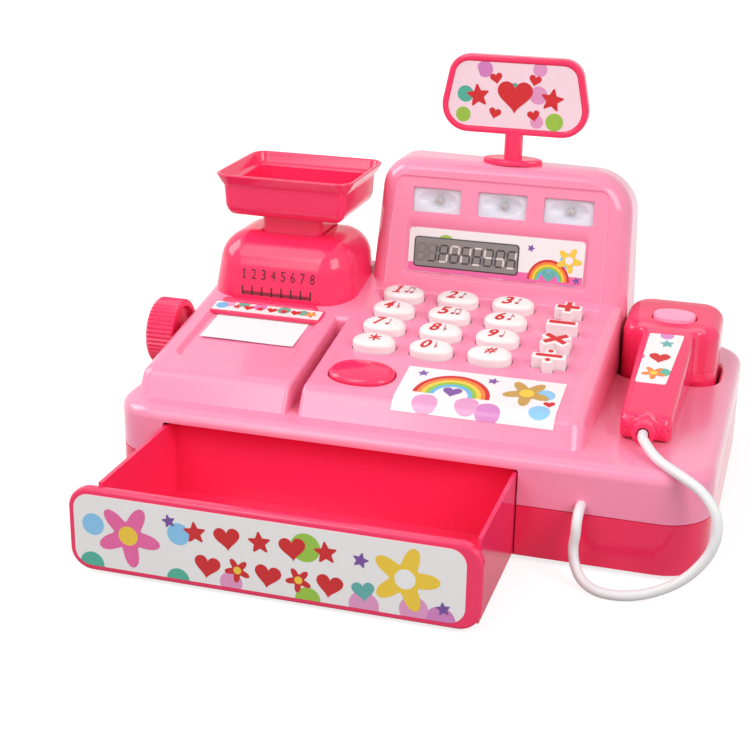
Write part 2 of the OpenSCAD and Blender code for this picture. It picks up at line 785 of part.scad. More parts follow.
module flash_reflector() {
    color(WHITE) difference() {
        on_face(tower_mid, window_up) along_z(-wall - reflector_d, -wall)
            square([2 * window_pitch + window_w + 6, window_h + 5], center = true);
        on_windows() along_z(-wall - reflector_d / 2, bite) oval(window_w - 5, window_h - 3);
        on_windows() along_z(-wall - reflector_d - bite, -wall) circle(r = lamp_r + 2 * run_fit);
    }
}
module flash_lamps() {
    color([0.9, 0.9, 0.85]) on_windows() {
        along_z(-wall - reflector_d - 2, -wall - 3) circle(r = lamp_r);
        translate([0, 0, -wall - 3]) sphere(r = lamp_r);
    }
}
module lcd_module() {
    color([0.55, 0.53, 0.52]) on_face(lcd_x, lcd_up) {
        along_z(-wall, -bezel_depth - 0.1) square([lcd_w, lcd_h], center = true);
        along_z(-wall - 3, -wall) square([lcd_w + 8, lcd_h + 6], center = true);
    }
}
module display_label() {
    half = bezel_w / 2 - bezel_margin;
    drop = 0.4;
    floor_z = -bezel_depth;
    color(WHITE) on_face(bezel_mid, bezel_up - drop) along_z(floor_z, floor_z + label_t) difference() {
        plate(-half, half, -label_h / 2, label_h / 2, 2);
        translate([-lcd_shift, lcd_up - bezel_up + drop]) square([lcd_w + 1, lcd_h + 1], center = true);
    }
}

// Keypad
module on_number_key(i) {
    on_console(key_mid + (i % 3 - 1) * key_pitch_x, key_row + (3 - floor(i / 3)) * key_pitch_y) children();
}
module on_sign_key(i) {
    on_console(sign_key_x, sign_key_row + (len(SIGNS) - 1 - i) * sign_key_pitch) children();
}
module bar_shape(w, h, d) { square([w + 2 * d, h + 2 * d], center = true); }
// Outline of sign key i, let out by d
module sign_shape(i, d = 0) {
    bar = sign_key_bar;
    if (i == 0) {
        bar_shape(sign_key_w, bar, d);
        bar_shape(bar, sign_key_w - 2, d);
    }
    if (i == 1) bar_shape(sign_key_w + 2, bar, d);
    if (i == 2) for (a = [-38, 38]) rotate(a) bar_shape(sign_key_w + 2, bar, d);
    if (i == 3) {
        bar_shape(sign_key_w + 3, bar, d);
        bar_shape(bar, sign_key_w - 1, d);
    }
}
module number_key(i) {
    color(WHITE) on_number_key(i) {
        along_z(lip_top, key_h) oval(key_w, key_d);
        along_z(lip_low, lip_top) oval(key_w + 2 * key_lip, key_d + 2 * key_lip);
    }
}
module sign_key(i) {
    color(WHITE) on_sign_key(i) {
        along_z(lip_top, sign_key_h) sign_shape(i);
        along_z(lip_low, lip_top) sign_shape(i, key_lip);
    }
}
module key_large() {
    color(HOT_PINK) on_console(big_key_x, big_key_row) {
        along_z(lip_top, big_key_h) oval(big_key_w, big_key_d);
        along_z(lip_low, lip_top) oval(big_key_w + 2 * key_lip, big_key_d + 2 * key_lip);
    }
}
module keypad_membrane() {
    pad_u0 = post_u0 + board_post_r + bite / 2;
    pad_u1 = post_u1 - board_post_r - bite / 2;
    color("dimgray") {
        on_console(board_x0, pad_u0) along_z(board_top, pad_top) square([board_w, pad_u1 - pad_u0]);
        for (i = [0:len(NUMBERS) - 1]) on_number_key(i) bump();
        for (i = [0:len(SIGNS) - 1]) on_sign_key(i) bump();
        on_console(big_key_x, big_key_row) bump();
    }
}
module bump() { along_z(pad_top - bite / 2, bump_top) circle(r = 2.5); }
module main_board() {
    color("seagreen") on_console(board_x0, board_u0) along_z(board_top - board_t, board_top)
        square([board_w, board_u1 - board_u0]);
}
// Label that follows the console's top and bends over its nose
module keypad_label() {
    x0 = keypad_x0 + pad_label_col;
    x1 = x0 + pad_label_w;
    low = case_h + pad_label_foot;
    high = bend_y + pad_label_len * cos(slope);
    pts = [[nose_at(low), low], [tower_y, low], [tower_y, shoulder_z], [bend_y, bend_z]];
    color(WHITE) intersection() {
        along_x(x0, x1) difference() {
            polygon(outline(pts, [0, 0, 0, nose_r], -label_t));
            polygon(outline(pts, [0, 0, 0, nose_r]));
        }
        block(x0 - bite, x1 + bite, front_y, high, low, shoulder_z);
    }
}

// Receipt printer
module tear_bar() {
    color(HOT_PINK) on_console(recess_mid, bar_u) {
        along_z(0, bar_h) translate([-bar_w / 2, 0]) square([bar_w, bar_len]);
        along_z(-recess_depth + 0.8, bar_h / 2) translate([-recess_w / 2 + gap, 0]) square([recess_w - 2 * gap, 3.5]);
        along_z(0, bar_h + 1.2) translate([-bar_w / 2 + 3, bar_len - bite / 2]) square([bar_w - 8, 4]);
    }
}
module tear_bar_label() {
    color(WHITE) on_console(recess_mid, bar_u) along_z(bar_h, bar_h + label_t)
        translate([-bar_w / 2 + 0.5, 1]) square([bar_w - 1, bar_len - 2.5]);
}
module receipt_paper() {
    tucked = 3.5;
    floor_z = -recess_depth;
    color("white") on_console(recess_mid, bar_u + tucked - paper_len) along_z(floor_z, floor_z + label_t)
        translate([-paper_w / 2, 0]) square([paper_w, paper_len]);
}
module paper_roll() {
    color("white") difference() {
        rod_x(roll_x0, roll_x1, shaft_y, shaft_z, roll_r);
        rod_x(roll_x0 - bite, roll_x1 + bite, shaft_y, shaft_z, shaft_r + 0.02);
    }
}
module paper_shaft() {
    color("silver") rod_x(knob_x0 + knob_face, printer_x1 - wall - bracket_t + 4, shaft_y, shaft_z, shaft_r);
}
module shaft_bracket() {
    x1 = printer_x1 - wall;
    half = bracket_w / 2;
    color(LIGHT_PINK) difference() {
        block(x1 - bracket_t, x1, shaft_y - half, shaft_y + half, shaft_z - half, shaft_z + half);
        rod_x(x1 - bracket_t - bite, x1 - bite, shaft_y, shaft_z, shaft_r + run_fit);
    }
}
// Radius of the knob's rim at step i of four in each flute
function flute(i) = knob_r - (i % 4 < 2 ? 0 : flute_depth);
module paper_knob() {
    rim = 2.5;
    hub_r = 5.5;
    steps = 4 * flutes;
    rim_pts = [for (i = [0:steps - 1]) flute(i) * [cos(360 * i / steps), sin(360 * i / steps)]];
    color(HOT_PINK) difference() {
        union() {
            difference() {
                translate([0, shaft_y, shaft_z]) along_x(knob_x0, knob_x1) polygon(rim_pts);
                rod_x(knob_x0 + rim, knob_x1 + bite, shaft_y, shaft_z, knob_r - flute_depth - rim);
            }
            rod_x(knob_x0 + bite, printer_x0 - gap, shaft_y, shaft_z, hub_r);
        }
        rod_x(knob_x0 + knob_face, printer_x0 + bite, shaft_y, shaft_z, shaft_r + 0.02);
    }
}

// Toy scale
module scale_housing() {
    hole = plunger_w / 2 + 2 * gap;
    under = [[bend_y, 0], [back_y, 0], [back_y, shoulder_z], [tower_y, shoulder_z], [bend_y, bend_z]];
    color(HOT_PINK) difference() {
        dome_form();
        dome_form(wall);
        along_x(dome_x0 - bite, dome_x1 + bite) polygon(under);
        along_z(dome_top - 2 * wall, dome_top + bite) pan_plate(hole, hole, 5);
    }
}
// Plate of half sizes dx and dy, with corners of radius r, under the pan's middle
module pan_plate(dx, dy, r) { plate(pan_x - dx, pan_x + dx, pan_y - dy, pan_y + dy, r); }
module scale_plunger() {
    half = plunger_w / 2;
    lip = half + 2.5;
    low = plunger_lip - 2;
    color(HOT_PINK) difference() {
        union() {
            along_z(low, pan_z) pan_plate(half, half, 5);
            along_z(low, plunger_lip) pan_plate(lip, lip, 6);
        }
        rod_z(pan_x, pan_y, low - bite, spring_top, spring_r + 3);
    }
}
module scale_spring() {
    steps = 8 * spring_turns;
    low = seat_z + spring_wire / 2 + run_fit;
    run = spring_top - spring_wire / 2 - run_fit - low;
    coil = [for (i = [0:steps]) let (a = 360 * spring_turns * i / steps)
        [pan_x + spring_r * cos(a), pan_y + spring_r * sin(a), low + run * i / steps]];
    color("silver") tube(coil, spring_wire / 2, [1, 0, 0], 6);
}
// Dish with a drawn-in foot, and the flared rim above it, both drawn in by d
module sheet(z, dx, dy, r, d) {
    along_z(z, z + sheet_t) pan_plate(pan_w / 2 - dx - d, pan_d / 2 - dy - d, r);
}
module dish(d, low, high) {
    hull() {
        sheet(low, 12, 12, 7, d);
        sheet(low + 2.2, 7.5, 7.5, 8, d);
        sheet(low + 7, 5, 5, 8, d);
        sheet(high - sheet_t, 4, 4, 8, d);
    }
}
module rim_form(d, low, high) {
    hull() {
        sheet(low, 4, 4, 8, d);
        sheet(high - sheet_t, 0, 0, 10, d);
    }
}
module scale_pan() {
    pan_wall = 2;
    rim_h = 6;
    top = pan_z + pan_h;
    color(HOT_PINK) difference() {
        union() {
            dish(0, pan_z, top - rim_h);
            rim_form(0, top - rim_h - sheet_t, top);
        }
        dish(pan_wall, pan_z + pan_wall, top - rim_h);
        rim_form(pan_wall, top - rim_h - sheet_t, top + sheet_t);
    }
}

// Sign on its post
function sign_pts() = [[sign_x - sign_w / 2, sign_z], [sign_x + sign_w / 2, sign_z],
    [sign_x + sign_top_w / 2, sign_z + sign_h], [sign_x - sign_top_w / 2, sign_z + sign_h]];
sign_radii = [15, 15, 12, 12];
module sign_frame() {
    face = sign_y - sign_t / 2;
    color(HOT_PINK) {
        difference() {
            along_y(face, sign_y + sign_t / 2) polygon(outline(sign_pts(), sign_radii));
            along_y(face - bite, face + sign_recess) polygon(outline(sign_pts(), sign_radii, sign_border));
        }
        rod_z(sign_x, sign_y, tower_top - 2 * wall, sign_z + bite, post_r);
        along_z(tower_top, tower_top + flange_t) translate([sign_x, sign_y]) oval(flange_w, flange_d);
    }
}
module sign_panel() {
    face = sign_y - sign_t / 2 + sign_recess;
    edge = sign_border + door_gap;
    color(WHITE) along_y(face - 2 * label_t, face) polygon(outline(sign_pts(), sign_radii, edge));
}

// Hand scanner
module handle_form(d) {
    half = handle_w / 2;
    flare = 1.75;
    end = head_y0 + 14;
    plan = [[scanner_x - half, tail_y], [scanner_x + half, tail_y], [scanner_x + half + flare, end],
        [scanner_x - half - flare, end]];
    section = box(-half - flare, half + flare, -3 * handle_h, 0);
    intersection() {
        along_z(scanner_z0 + d, head_top) polygon(outline(plan, [8, 8, 0, 0], d));
        on_handle() along_y(-handle_h, head_setback + head_d) polygon(outline(section, [0, 0, 3.5, 3.5], d));
        on_head_top() along_y(-4 * head_d, head_d) polygon(box(-head_w, head_w, -head_w - head_h, -d));
    }
}
// Frame on the head's top, which falls towards the handle: y runs to the back, z stands square to it
module on_head_top() { translate([head_x, head_y1, head_top]) rotate([head_tilt, 0, 0]) children(); }
// Frame on the handle's sloping top: y runs up from the tail and z stands square to it
handle_tilt = atan((head_h - 5 - handle_h) / head_setback);
module on_handle() {
    translate([scanner_x, tail_y, scanner_z0 + handle_h]) rotate([handle_tilt, 0, 0]) children();
}
module head_form(d) {
    x0 = head_x - head_w / 2;
    x1 = head_x + head_w / 2;
    low = head_z0 - 9;
    intersection() {
        along_z(head_z0 + d, head_top + 1) plate(x0, x1, head_y0, head_y1, head_r, d);
        along_x(x0 - 1, x1 + 1) polygon(outline([[head_y0, low], [head_y1, low], [head_y1, head_top],
            [head_y0, head_top - head_fall]], [0, 0, 7, 7], d, 7));
        on_head_top() along_y(-2 * head_d, head_d)
            polygon(outline(box(-head_w / 2, head_w / 2, low - head_top - head_fall, 0), [0, 0, 8, 8], d, 6));
    }
}
module scanner_form(d) {
    handle_form(d);
    head_form(d);
}
module scanner_half(z0, z1) {
    difference() {
        intersection() {
            scanner_form(0);
            block(head_x - head_w, head_x + head_w, tail_y - bite, head_y1 + bite, z0, z1);
        }
        scanner_form(scanner_wall);
        rod_y(scanner_x, tail_y - bite, tail_y + 2 * scanner_wall, gland_z, gland_plug_r + 2 * run_fit);
    }
}
module on_button() { translate([head_x + 0.5, button_y, button_z]) children(); }
module scanner_top() {
    color(HOT_PINK) difference() {
        scanner_half(scanner_split, head_top + bite);
        on_button() along_z(-3 * scanner_wall, scanner_wall)
            oval(button_w + 2 * key_gap, button_d + 2 * key_gap);
    }
}
module scanner_bottom() {
    color(HOT_PINK) difference() {
        scanner_half(head_z0 - bite, scanner_split);
        window_cut(0);
    }
}
module window_cut(d) {
    mid = (head_y0 + head_y1) / 2;
    along_z(head_z0 - bite, head_z0 + scanner_wall + bite)
        plate(head_x - lens_w / 2, head_x + lens_w / 2, mid - lens_d / 2, mid + lens_d / 2, 3, d);
}
module scanner_window() {
    color([0.8, 0.1, 0.15, 0.6]) intersection() {
        window_cut(door_gap);
        block(head_x - head_w, head_x + head_w, head_y0, head_y1, head_z0 + 0.2, head_z0 + scanner_wall);
    }
}
module scanner_button() {
    color([1.0, 0.66, 0.78]) on_button() {
        along_z(button_lip, button_h) oval(button_w, button_d);
        along_z(button_lip - lip_t, button_lip) oval(button_w + 2 * key_lip, button_d + 2 * key_lip);
    }
}
module scanner_gland() {
    color(HOT_PINK) {
        rod_y(scanner_x, tail_y - gland_len, tail_y, gland_z, gland_r);
        rod_y(scanner_x, tail_y - bite, tail_y + 2 * scanner_wall, gland_z, gland_plug_r);
    }
}
// Label on the handle's sloping top
module scanner_label() {
    color(WHITE) on_handle() along_z(0, label_t)
        plate(-handle_label_w / 2, handle_label_w / 2, handle_label_u0, handle_label_u1, handle_label_r);
}
module cord() { color(WHITE) tube(CORD, cord_d / 2, [1, 0, 0], 12); }
module cord_bush() {
    color(LIGHT_PINK) rod_y(bush_x, front_y, front_y + wall + 2, bush_z, bush_r - 2 * run_fit);
}

// Power
module battery_cover() { color(DEEP_PINK) bay(door_ledge - door_gap, 0, door_t); }
function cell_y(i) = bay_y0 + (i + 0.5) * (bay_y1 - bay_y0) / cells;
cell_z = door_t + gap + cell_r;
contact_t = 0.5;
module batteries() {
    x0 = (bay_x0 + bay_x1 - cell_len) / 2;
    color("goldenrod") for (i = [0:cells - 1]) {
        rod_x(x0, x0 + cell_len - 1.5, cell_y(i), cell_z, cell_r);
        rod_x(x0 + cell_len - 2, x0 + cell_len, cell_y(i), cell_z, 2.6);
    }
}
module battery_contacts() {
    reach = (bay_x1 - bay_x0 - cell_len) / 2 - 2 * run_fit;
    color("silver") for (i = [0:cells - 1]) {
        for (x = [bay_x0, bay_x1 - contact_t])
            block(x, x + contact_t, cell_y(i) - contact_w / 2, cell_y(i) + contact_w / 2,
                cell_z - contact_h / 2, cell_z + contact_h / 2);
        for (x = [bay_x0, bay_x1 - reach])
            rod_x(x, x + reach, cell_y(i), cell_z, contact_r);
    }
}
module power_switch() {
    half = switch_w / 2;
    plate_y = back_y - wall - gap;
    color("dimgray") {
        block(switch_x - half, switch_x + half, plate_y - bite, back_y + 1.5,
            switch_z - switch_h / 2, switch_z + switch_h / 2);
        block(switch_x - half - 7, switch_x + half + 7, plate_y - 1.5, plate_y,
            switch_z - switch_h, switch_z + switch_h);
    }
}
module loudspeaker() {
    cone_r = speaker_r - speaker_rim;
    neck = magnet_r + basket_t;
    color("dimgray") translate([speaker_x, speaker_y, wall]) rotate_extrude()
        polygon([[0, cone_sink], [cone_r, cone_sink], [cone_r, 0], [speaker_r, 0], [speaker_r, rim_t],
            [neck, basket_d], [magnet_r, basket_d], [magnet_r, speaker_d], [0, speaker_d]]);
}

lower_case();
upper_case();
display_housing();
display_back_cover();
drawer_tray();
drawer_front();
drawer_label();
scale_housing();
scale_pan();
scale_plunger();
scale_spring();
tear_bar();
tear_bar_label();
receipt_paper();
paper_roll();
paper_shaft();
paper_knob();
shaft_bracket();
keypad_membrane();
keypad_label();
main_board();
flash_windows();
flash_reflector();
flash_lamps();
lcd_module();
display_label();
sign_frame();
sign_panel();
scanner_top();
scanner_bottom();
scanner_button();
scanner_window();
scanner_gland();
scanner_label();
cord();
cord_bush();
battery_cover();
batteries();
battery_contacts();
power_switch();
loudspeaker();
case_screws();
key_large();
for (i = [0:len(NUMBERS) - 1]) number_key(i);
for (i = [0:len(SIGNS) - 1]) sign_key(i);
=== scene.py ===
"""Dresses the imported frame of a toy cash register: glossy moulded plastic, printed labels and a white cord.

Sizes are in millimetres on the frame's own axes: X runs right, the front faces -Y and Z is up.
"""
import logging
import math
from dataclasses import dataclass
from enum import Enum
from typing import Callable, Iterable, Sequence

import bmesh
import bpy
import numpy as np
from mathutils import Matrix, Vector


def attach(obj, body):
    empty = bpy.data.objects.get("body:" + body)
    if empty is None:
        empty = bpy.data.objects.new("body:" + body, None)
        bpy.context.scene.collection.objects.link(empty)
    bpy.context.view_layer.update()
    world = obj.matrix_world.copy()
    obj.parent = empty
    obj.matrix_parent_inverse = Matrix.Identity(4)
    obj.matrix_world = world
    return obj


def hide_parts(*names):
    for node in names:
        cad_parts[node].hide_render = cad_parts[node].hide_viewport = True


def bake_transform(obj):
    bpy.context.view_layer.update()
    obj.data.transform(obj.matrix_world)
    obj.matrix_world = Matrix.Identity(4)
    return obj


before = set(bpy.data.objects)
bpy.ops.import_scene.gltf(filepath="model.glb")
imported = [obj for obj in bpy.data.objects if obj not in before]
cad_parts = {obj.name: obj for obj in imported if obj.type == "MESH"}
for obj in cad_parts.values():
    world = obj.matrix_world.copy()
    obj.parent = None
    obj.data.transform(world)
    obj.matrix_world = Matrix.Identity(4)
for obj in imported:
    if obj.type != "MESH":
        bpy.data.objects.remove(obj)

MM = 0.001
QUARTER = math.pi / 2
INK_LIFT = 0.06
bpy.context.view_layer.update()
LOG = logging.getLogger("cash_register")
Array = np.ndarray
Move = Callable[[Array], Array]
Outline = Callable[[float], Array]
Piece = bpy.types.Object
Place = Callable[[Array, float], Array]
Socket = bpy.types.NodeSocket


# Surfaces

@dataclass
class Surface:
    """Points in millimetres and the faces that join them."""

    points: Array
    faces: list

    def placed(self, place: Move) -> "Surface":
        """The same faces on moved points."""
        return Surface(place(self.points), self.faces)


def joined(parts: Iterable[Surface]) -> Surface:
    """Several surfaces as one.

    Args:
        parts: The surfaces.

    Returns:
        All their points and faces, in their order.
    """
    parts = list(parts)
    shifts = np.cumsum([0] + [len(part.points) for part in parts]).tolist()
    faces = [[corner + shift for corner in face] for part, shift in zip(parts, shifts) for face in part.faces]
    return Surface(np.vstack([part.points for part in parts]), faces)


@dataclass(frozen=True)
class Slant:
    """A working plane that leans back about the X axis: u runs up along it and n stands square to it."""

    y: float
    z: float
    tilt: float
    x: float = 0.0

    def place(self, points: Array) -> Array:
        """Puts points into the frame: u along (cos, sin) and n along (-sin, cos) of the tilt.

        Args:
            points: Their (x, u, n).

        Returns:
            Their (x, y, z).
        """
        turn = math.radians(self.tilt)
        x, u, n = np.moveaxis(np.asarray(points, float), -1, 0)
        y = self.y + u * math.cos(turn) - n * math.sin(turn)
        z = self.z + u * math.sin(turn) + n * math.cos(turn)
        return np.stack([x + self.x, y, z], -1)

    def lay(self, flat: Array, lift: float) -> Array:
        """Puts flat (x, u) points on the plane, lifted off it."""
        return self.place(level(flat, lift))


def level(flat: Array, height: float) -> Array:
    """Flat points at one height."""
    return np.column_stack([flat, np.full(len(flat), height)])


def patch(points: Array) -> Surface:
    """One face with the given corners."""
    return Surface(points, [list(range(len(points)))])


def flat_print(outline: Array) -> Surface:
    """One flat face with the given outline."""
    return patch(level(outline, 0.0))


def upright(points: Array, y: float = 0.0) -> Array:
    """Stands (x, z, towards the front) points up, measured from a depth."""
    return np.stack([points[..., 0], y - points[..., 2], points[..., 1]], -1)


def rectangle(x0: float, x1: float, y0: float, y1: float) -> Array:
    """The four corners of a rectangle, anticlockwise."""
    return np.array([(x0, y0), (x1, y0), (x1, y1), (x0, y1)], float)


def rounded(corners: Array, radii: Sequence[float] | float, inset: float = 0.0, steps: int = 8) -> Array:
    """A closed outline, walked anticlockwise, whose corners are arcs.

    Each side first moves in by the inset. A corner's arc then turns about the point that lies one
    radius from both of its sides, in equal steps from the first side's heading to the second's.

    Args:
        corners: The sharp corners.
        radii: The radius at each corner, or one for all.
        inset: How far the sides move in.
        steps: The number of steps in each arc.

    Returns:
        The outline's points, as many for any inset.
    """
    corners = np.asarray(corners, float)
    radii = np.broadcast_to(np.asarray(radii, float), len(corners))
    out = np.roll(corners, -1, 0) - corners
    out /= np.linalg.norm(out, axis=1)[:, None]
    come = np.roll(out, 1, 0)
    cosine = (come * out).sum(1)
    turn = np.arctan2(come[:, 0] * out[:, 1] - come[:, 1] * out[:, 0], cosine)
    side = np.where(turn < 0, -1.0, 1.0)
    left = np.column_stack([-come[:, 1], come[:, 0]])
    left_out = np.column_stack([-out[:, 1], out[:, 0]])
    moved = corners + inset * (left + left_out) / (1 + cosine)[:, None]
    radius = np.maximum(radii - side * inset, 1e-3)
    centre = moved - (radius * np.tan(np.abs(turn) / 2))[:, None] * come + (side * radius)[:, None] * left
    heading = np.arctan2(come[:, 1], come[:, 0])[:, None] + turn[:, None] * np.linspace(0, 1, steps + 1)
    arc = np.stack([np.sin(heading), -np.cos(heading)], -1)
    return (centre[:, None] + (side * radius)[:, None, None] * arc).reshape(-1, 2)


def frame_of(box: tuple, radii: Sequence[float] | float, steps: int = 8) -> Outline:
    """A rounded rectangle as a function of how far it is drawn in."""
    return lambda inset: rounded(rectangle(*box), radii, inset, steps)


def oval(width: float, depth: float, steps: int = 64, power: float = 2.0) -> Array:
    """A superellipse: each coordinate is the signed sine or cosine to the power two over the given power.

    Args:
        width: Its size across.
        depth: Its size up.
        steps: The number of points.
        power: Two for an ellipse, more for a squarer form.

    Returns:
        The outline's points.
    """
    turn = np.linspace(0, 2 * math.pi, steps, endpoint=False)
    wave = np.column_stack([np.cos(turn), np.sin(turn)])
    return np.sign(wave) * np.abs(wave) ** (2 / power) * [width / 2, depth / 2]


def oval_of(width: float, depth: float, steps: int = 72, power: float = 2.25) -> Outline:
    """An oval as a function of how far it is drawn in."""
    return lambda inset: oval(width - 2 * inset, depth - 2 * inset, steps, power)


def arms(angles: Sequence[float], lengths: Sequence[float], half: float) -> Array:
    """The outline of bars that leave one centre: two end corners for each arm and the corner to the next arm.

    The inner corner lies midway between two arms, at the half width over the sine of half the angle.

    Args:
        angles: The arms' headings in degrees, anticlockwise.
        lengths: The arms' lengths.
        half: Half the bars' width.

    Returns:
        The outline's corners.
    """
    turn = np.radians(np.asarray(angles, float))
    onward = np.roll(turn, -1)
    onward = np.where(onward < turn, onward + 2 * math.pi, onward)
    along = np.column_stack([np.cos(turn), np.sin(turn)])
    across = np.column_stack([-np.sin(turn), np.cos(turn)]) * half
    end = along * np.asarray(lengths, float)[:, None]
    middle = (turn + onward) / 2
    reach = half / np.sin((onward - turn) / 2)
    inner = np.column_stack([np.cos(middle), np.sin(middle)]) * reach[:, None]
    return np.stack([end - across, end + across, inner], 1).reshape(-1, 2)


def loft(rings: Array, capped: bool = True) -> Surface:
    """Joins neighbouring rings with four-sided faces.

    Args:
        rings: The rings' points, as many in each.
        capped: Whether flat faces close the two ends.

    Returns:
        The surface.
    """
    rings = np.asarray(rings, float)
    count, size = rings.shape[:2]
    ring, step = np.meshgrid(np.arange(count - 1), np.arange(size), indexing="ij")
    near, far, ahead = ring * size, (ring + 1) * size, (step + 1) % size
    faces = np.stack([near + step, near + ahead, far + ahead, far + step], -1).reshape(-1, 4).tolist()
    if capped:
        faces += [list(range(size))[::-1], list(range((count - 1) * size, count * size))]
    return Surface(rings.reshape(-1, 3), faces)


def sheet(points: Array) -> Surface:
    """An open surface over a grid, with four-sided faces.

    Args:
        points: The grid's points, by row and column.

    Returns:
        The surface.
    """
    rows, columns = points.shape[:2]
    row, column = np.meshgrid(np.arange(rows - 1), np.arange(columns - 1), indexing="ij")
    first = row * columns + column
    faces = np.stack([first, first + 1, first + columns + 1, first + columns], -1)
    return Surface(points.reshape(-1, 3), faces.reshape(-1, 4).tolist())


def stack(outline: Outline, stations: Sequence[tuple], place: Move | None = None) -> Surface:
    """A closed form of flat outlines.

    Args:
        outline: The outline at an inset.
        stations: For each ring, its inset and its height.
        place: Puts the rings in place.

    Returns:
        The form.
    """
    rings = np.stack([level(outline(inset), height) for inset, height in stations])
    return loft(rings if place is None else place(rings))


def block(x0: float, x1: float, y0: float, y1: float, z0: float, z1: float) -> Surface:
    """A plain box, for cutting and joining."""
    return stack(lambda _: rectangle(x0, x1, y0, y1), [(0, z0), (0, z1)])


def fillet(radius: float, steps: int = 6) -> list:
    """Insets and heights of a quarter round that ends one radius in and on top, at height nought."""
    turn = np.linspace(0, QUARTER, steps + 1)
    return list(zip(radius * (1 - np.cos(turn)), radius * (np.sin(turn) - 1)))


def raised(stations: Iterable[tuple], height: float, inset: float = 0.0) -> list:
    """Stations, each an inset and a height, moved up and in."""
    return [(inset + draw, height + rise) for draw, rise in stations]


def rounding(radius: float, steps: int) -> list:
    """How far an end is drawn in, r(1 - sin a), and how deep that lies, r(1 - cos a), over a quarter turn."""
    return [(radius * (1 - math.sin(a)), radius * (1 - math.cos(a))) for a in np.linspace(0, QUARTER, steps)]


def prism(profile: Array, radii: Sequence[float], span: Sequence[float], ends: Sequence[float],
          floor: float) -> Surface:
    """A side profile carried along X, drawn in at both ends so that they are rounded.

    Args:
        profile: The profile's (y, z) corners.
        radii: The radius at each corner.
        span: X at both ends.
        ends: The rounding's radius at both ends.
        floor: The height that nothing goes below.

    Returns:
        The closed form.
    """
    first = [(draw, span[0] + deep) for draw, deep in rounding(ends[0], 8)]
    last = [(draw, span[1] - deep) for draw, deep in rounding(ends[1], 8)[::-1]]
    rings = []
    for inset, x in [(ends[0] + 0.4, span[0])] + first + last + [(ends[1] + 0.4, span[1])]:
        flat = rounded(profile, radii, inset)
        rings.append(np.column_stack([np.full(len(flat), x), flat[:, 0], np.maximum(flat[:, 1], floor)]))
    return loft(np.stack(rings))


def lathe(profile: Sequence[tuple], place: Move, steps: int = 48) -> Surface:
    """A profile turned about the height's axis.

    Args:
        profile: Its (radius, height) points.
        place: Puts the rings in place.
        steps: The number of points round the axis.

    Returns:
        The closed form.
    """
    radius, height = np.array(profile, float).T
    turn = np.linspace(0, 2 * math.pi, steps, endpoint=False)
    rings = np.stack([radius[:, None] * np.cos(turn), radius[:, None] * np.sin(turn),
                      np.repeat(height[:, None], steps, 1)], -1)
    return loft(place(rings))


# Objects

class Carve(Enum):
    """What a tool does to a solid."""

    CUT = "DIFFERENCE"
    JOIN = "UNION"


def added(name: str, data: bpy.types.ID) -> Piece:
    """A new object at the origin, linked to the scene.

    Args:
        name: Its name.
        data: Its mesh, curve, lamp or camera.

    Returns:
        The object.
    """
    piece = bpy.data.objects.new(name, data)
    bpy.context.scene.collection.objects.link(piece)
    return piece


def worked_out(piece: Piece) -> bpy.types.Mesh:
    """A new mesh of what a piece's curve or modifiers come to."""
    bpy.context.view_layer.update()
    return bpy.data.meshes.new_from_object(piece.evaluated_get(bpy.context.evaluated_depsgraph_get()))


def taken(mesh: bpy.types.Mesh) -> Surface:
    """The points and faces of a mesh, which is then removed.

    Args:
        mesh: The mesh.

    Returns:
        Its surface.
    """
    points = np.zeros(len(mesh.vertices) * 3)
    mesh.vertices.foreach_get("co", points)
    faces = [list(face.vertices) for face in mesh.polygons]
    bpy.data.meshes.remove(mesh)
    return Surface(points.reshape(-1, 3), faces)


def lettering(text: str, height: float, width: float, lean: float = 0.0, bold: float = 0.0) -> Surface:
    """Flat characters of the built-in face, centred on nought.

    Args:
        text: What they say.
        height: How tall they are.
        width: How wide they are.
        lean: How far they shear for each step up.
        bold: How much their strokes thicken, as a share of the type's size.

    Returns:
        The characters' flat faces.
    """
    if text == "1":
        corners = [(-0.5, -0.5), (0.5, -0.5), (0.5, -0.38), (0.19, -0.38), (0.19, 0.5), (-0.08, 0.5),
                   (-0.46, 0.3), (-0.4, 0.18), (-0.15, 0.27), (-0.15, -0.38), (-0.5, -0.38)]
        one = np.array(corners) * [width, height]
        return flat_print(one + one[:, 1:] * [lean, 0])
    curve = bpy.data.curves.new("lettering", "FONT")
    curve.body = text
    curve.size = 1.0
    curve.offset = bold
    curve.resolution_u = 4
    holder = added("lettering", curve)
    mesh = worked_out(holder)
    bpy.data.objects.remove(holder)
    face = taken(mesh)
    low, high = face.points.min(0), face.points.max(0)
    points = (face.points - (low + high) / 2) * [width / (high - low)[0], height / (high - low)[1], 1]
    points[:, 0] += lean * points[:, 1]
    return Surface(points, face.faces)


def fine(surface: Surface, cuts: int = 3) -> Surface:
    """Splits flat faces into small triangles, so that they can follow a curved top.

    Args:
        surface: The flat faces.
        cuts: How often each edge is cut.

    Returns:
        The same faces in small triangles.
    """
    mesh = bpy.data.meshes.new("fine")
    mesh.from_pydata(surface.points.tolist(), [], surface.faces)
    cells = bmesh.new()
    cells.from_mesh(mesh)
    bmesh.ops.triangulate(cells, faces=cells.faces[:])
    bmesh.ops.subdivide_edges(cells, edges=cells.edges[:], cuts=cuts, use_grid_fill=True)
    cells.to_mesh(mesh)
    cells.free()
    return taken(mesh)


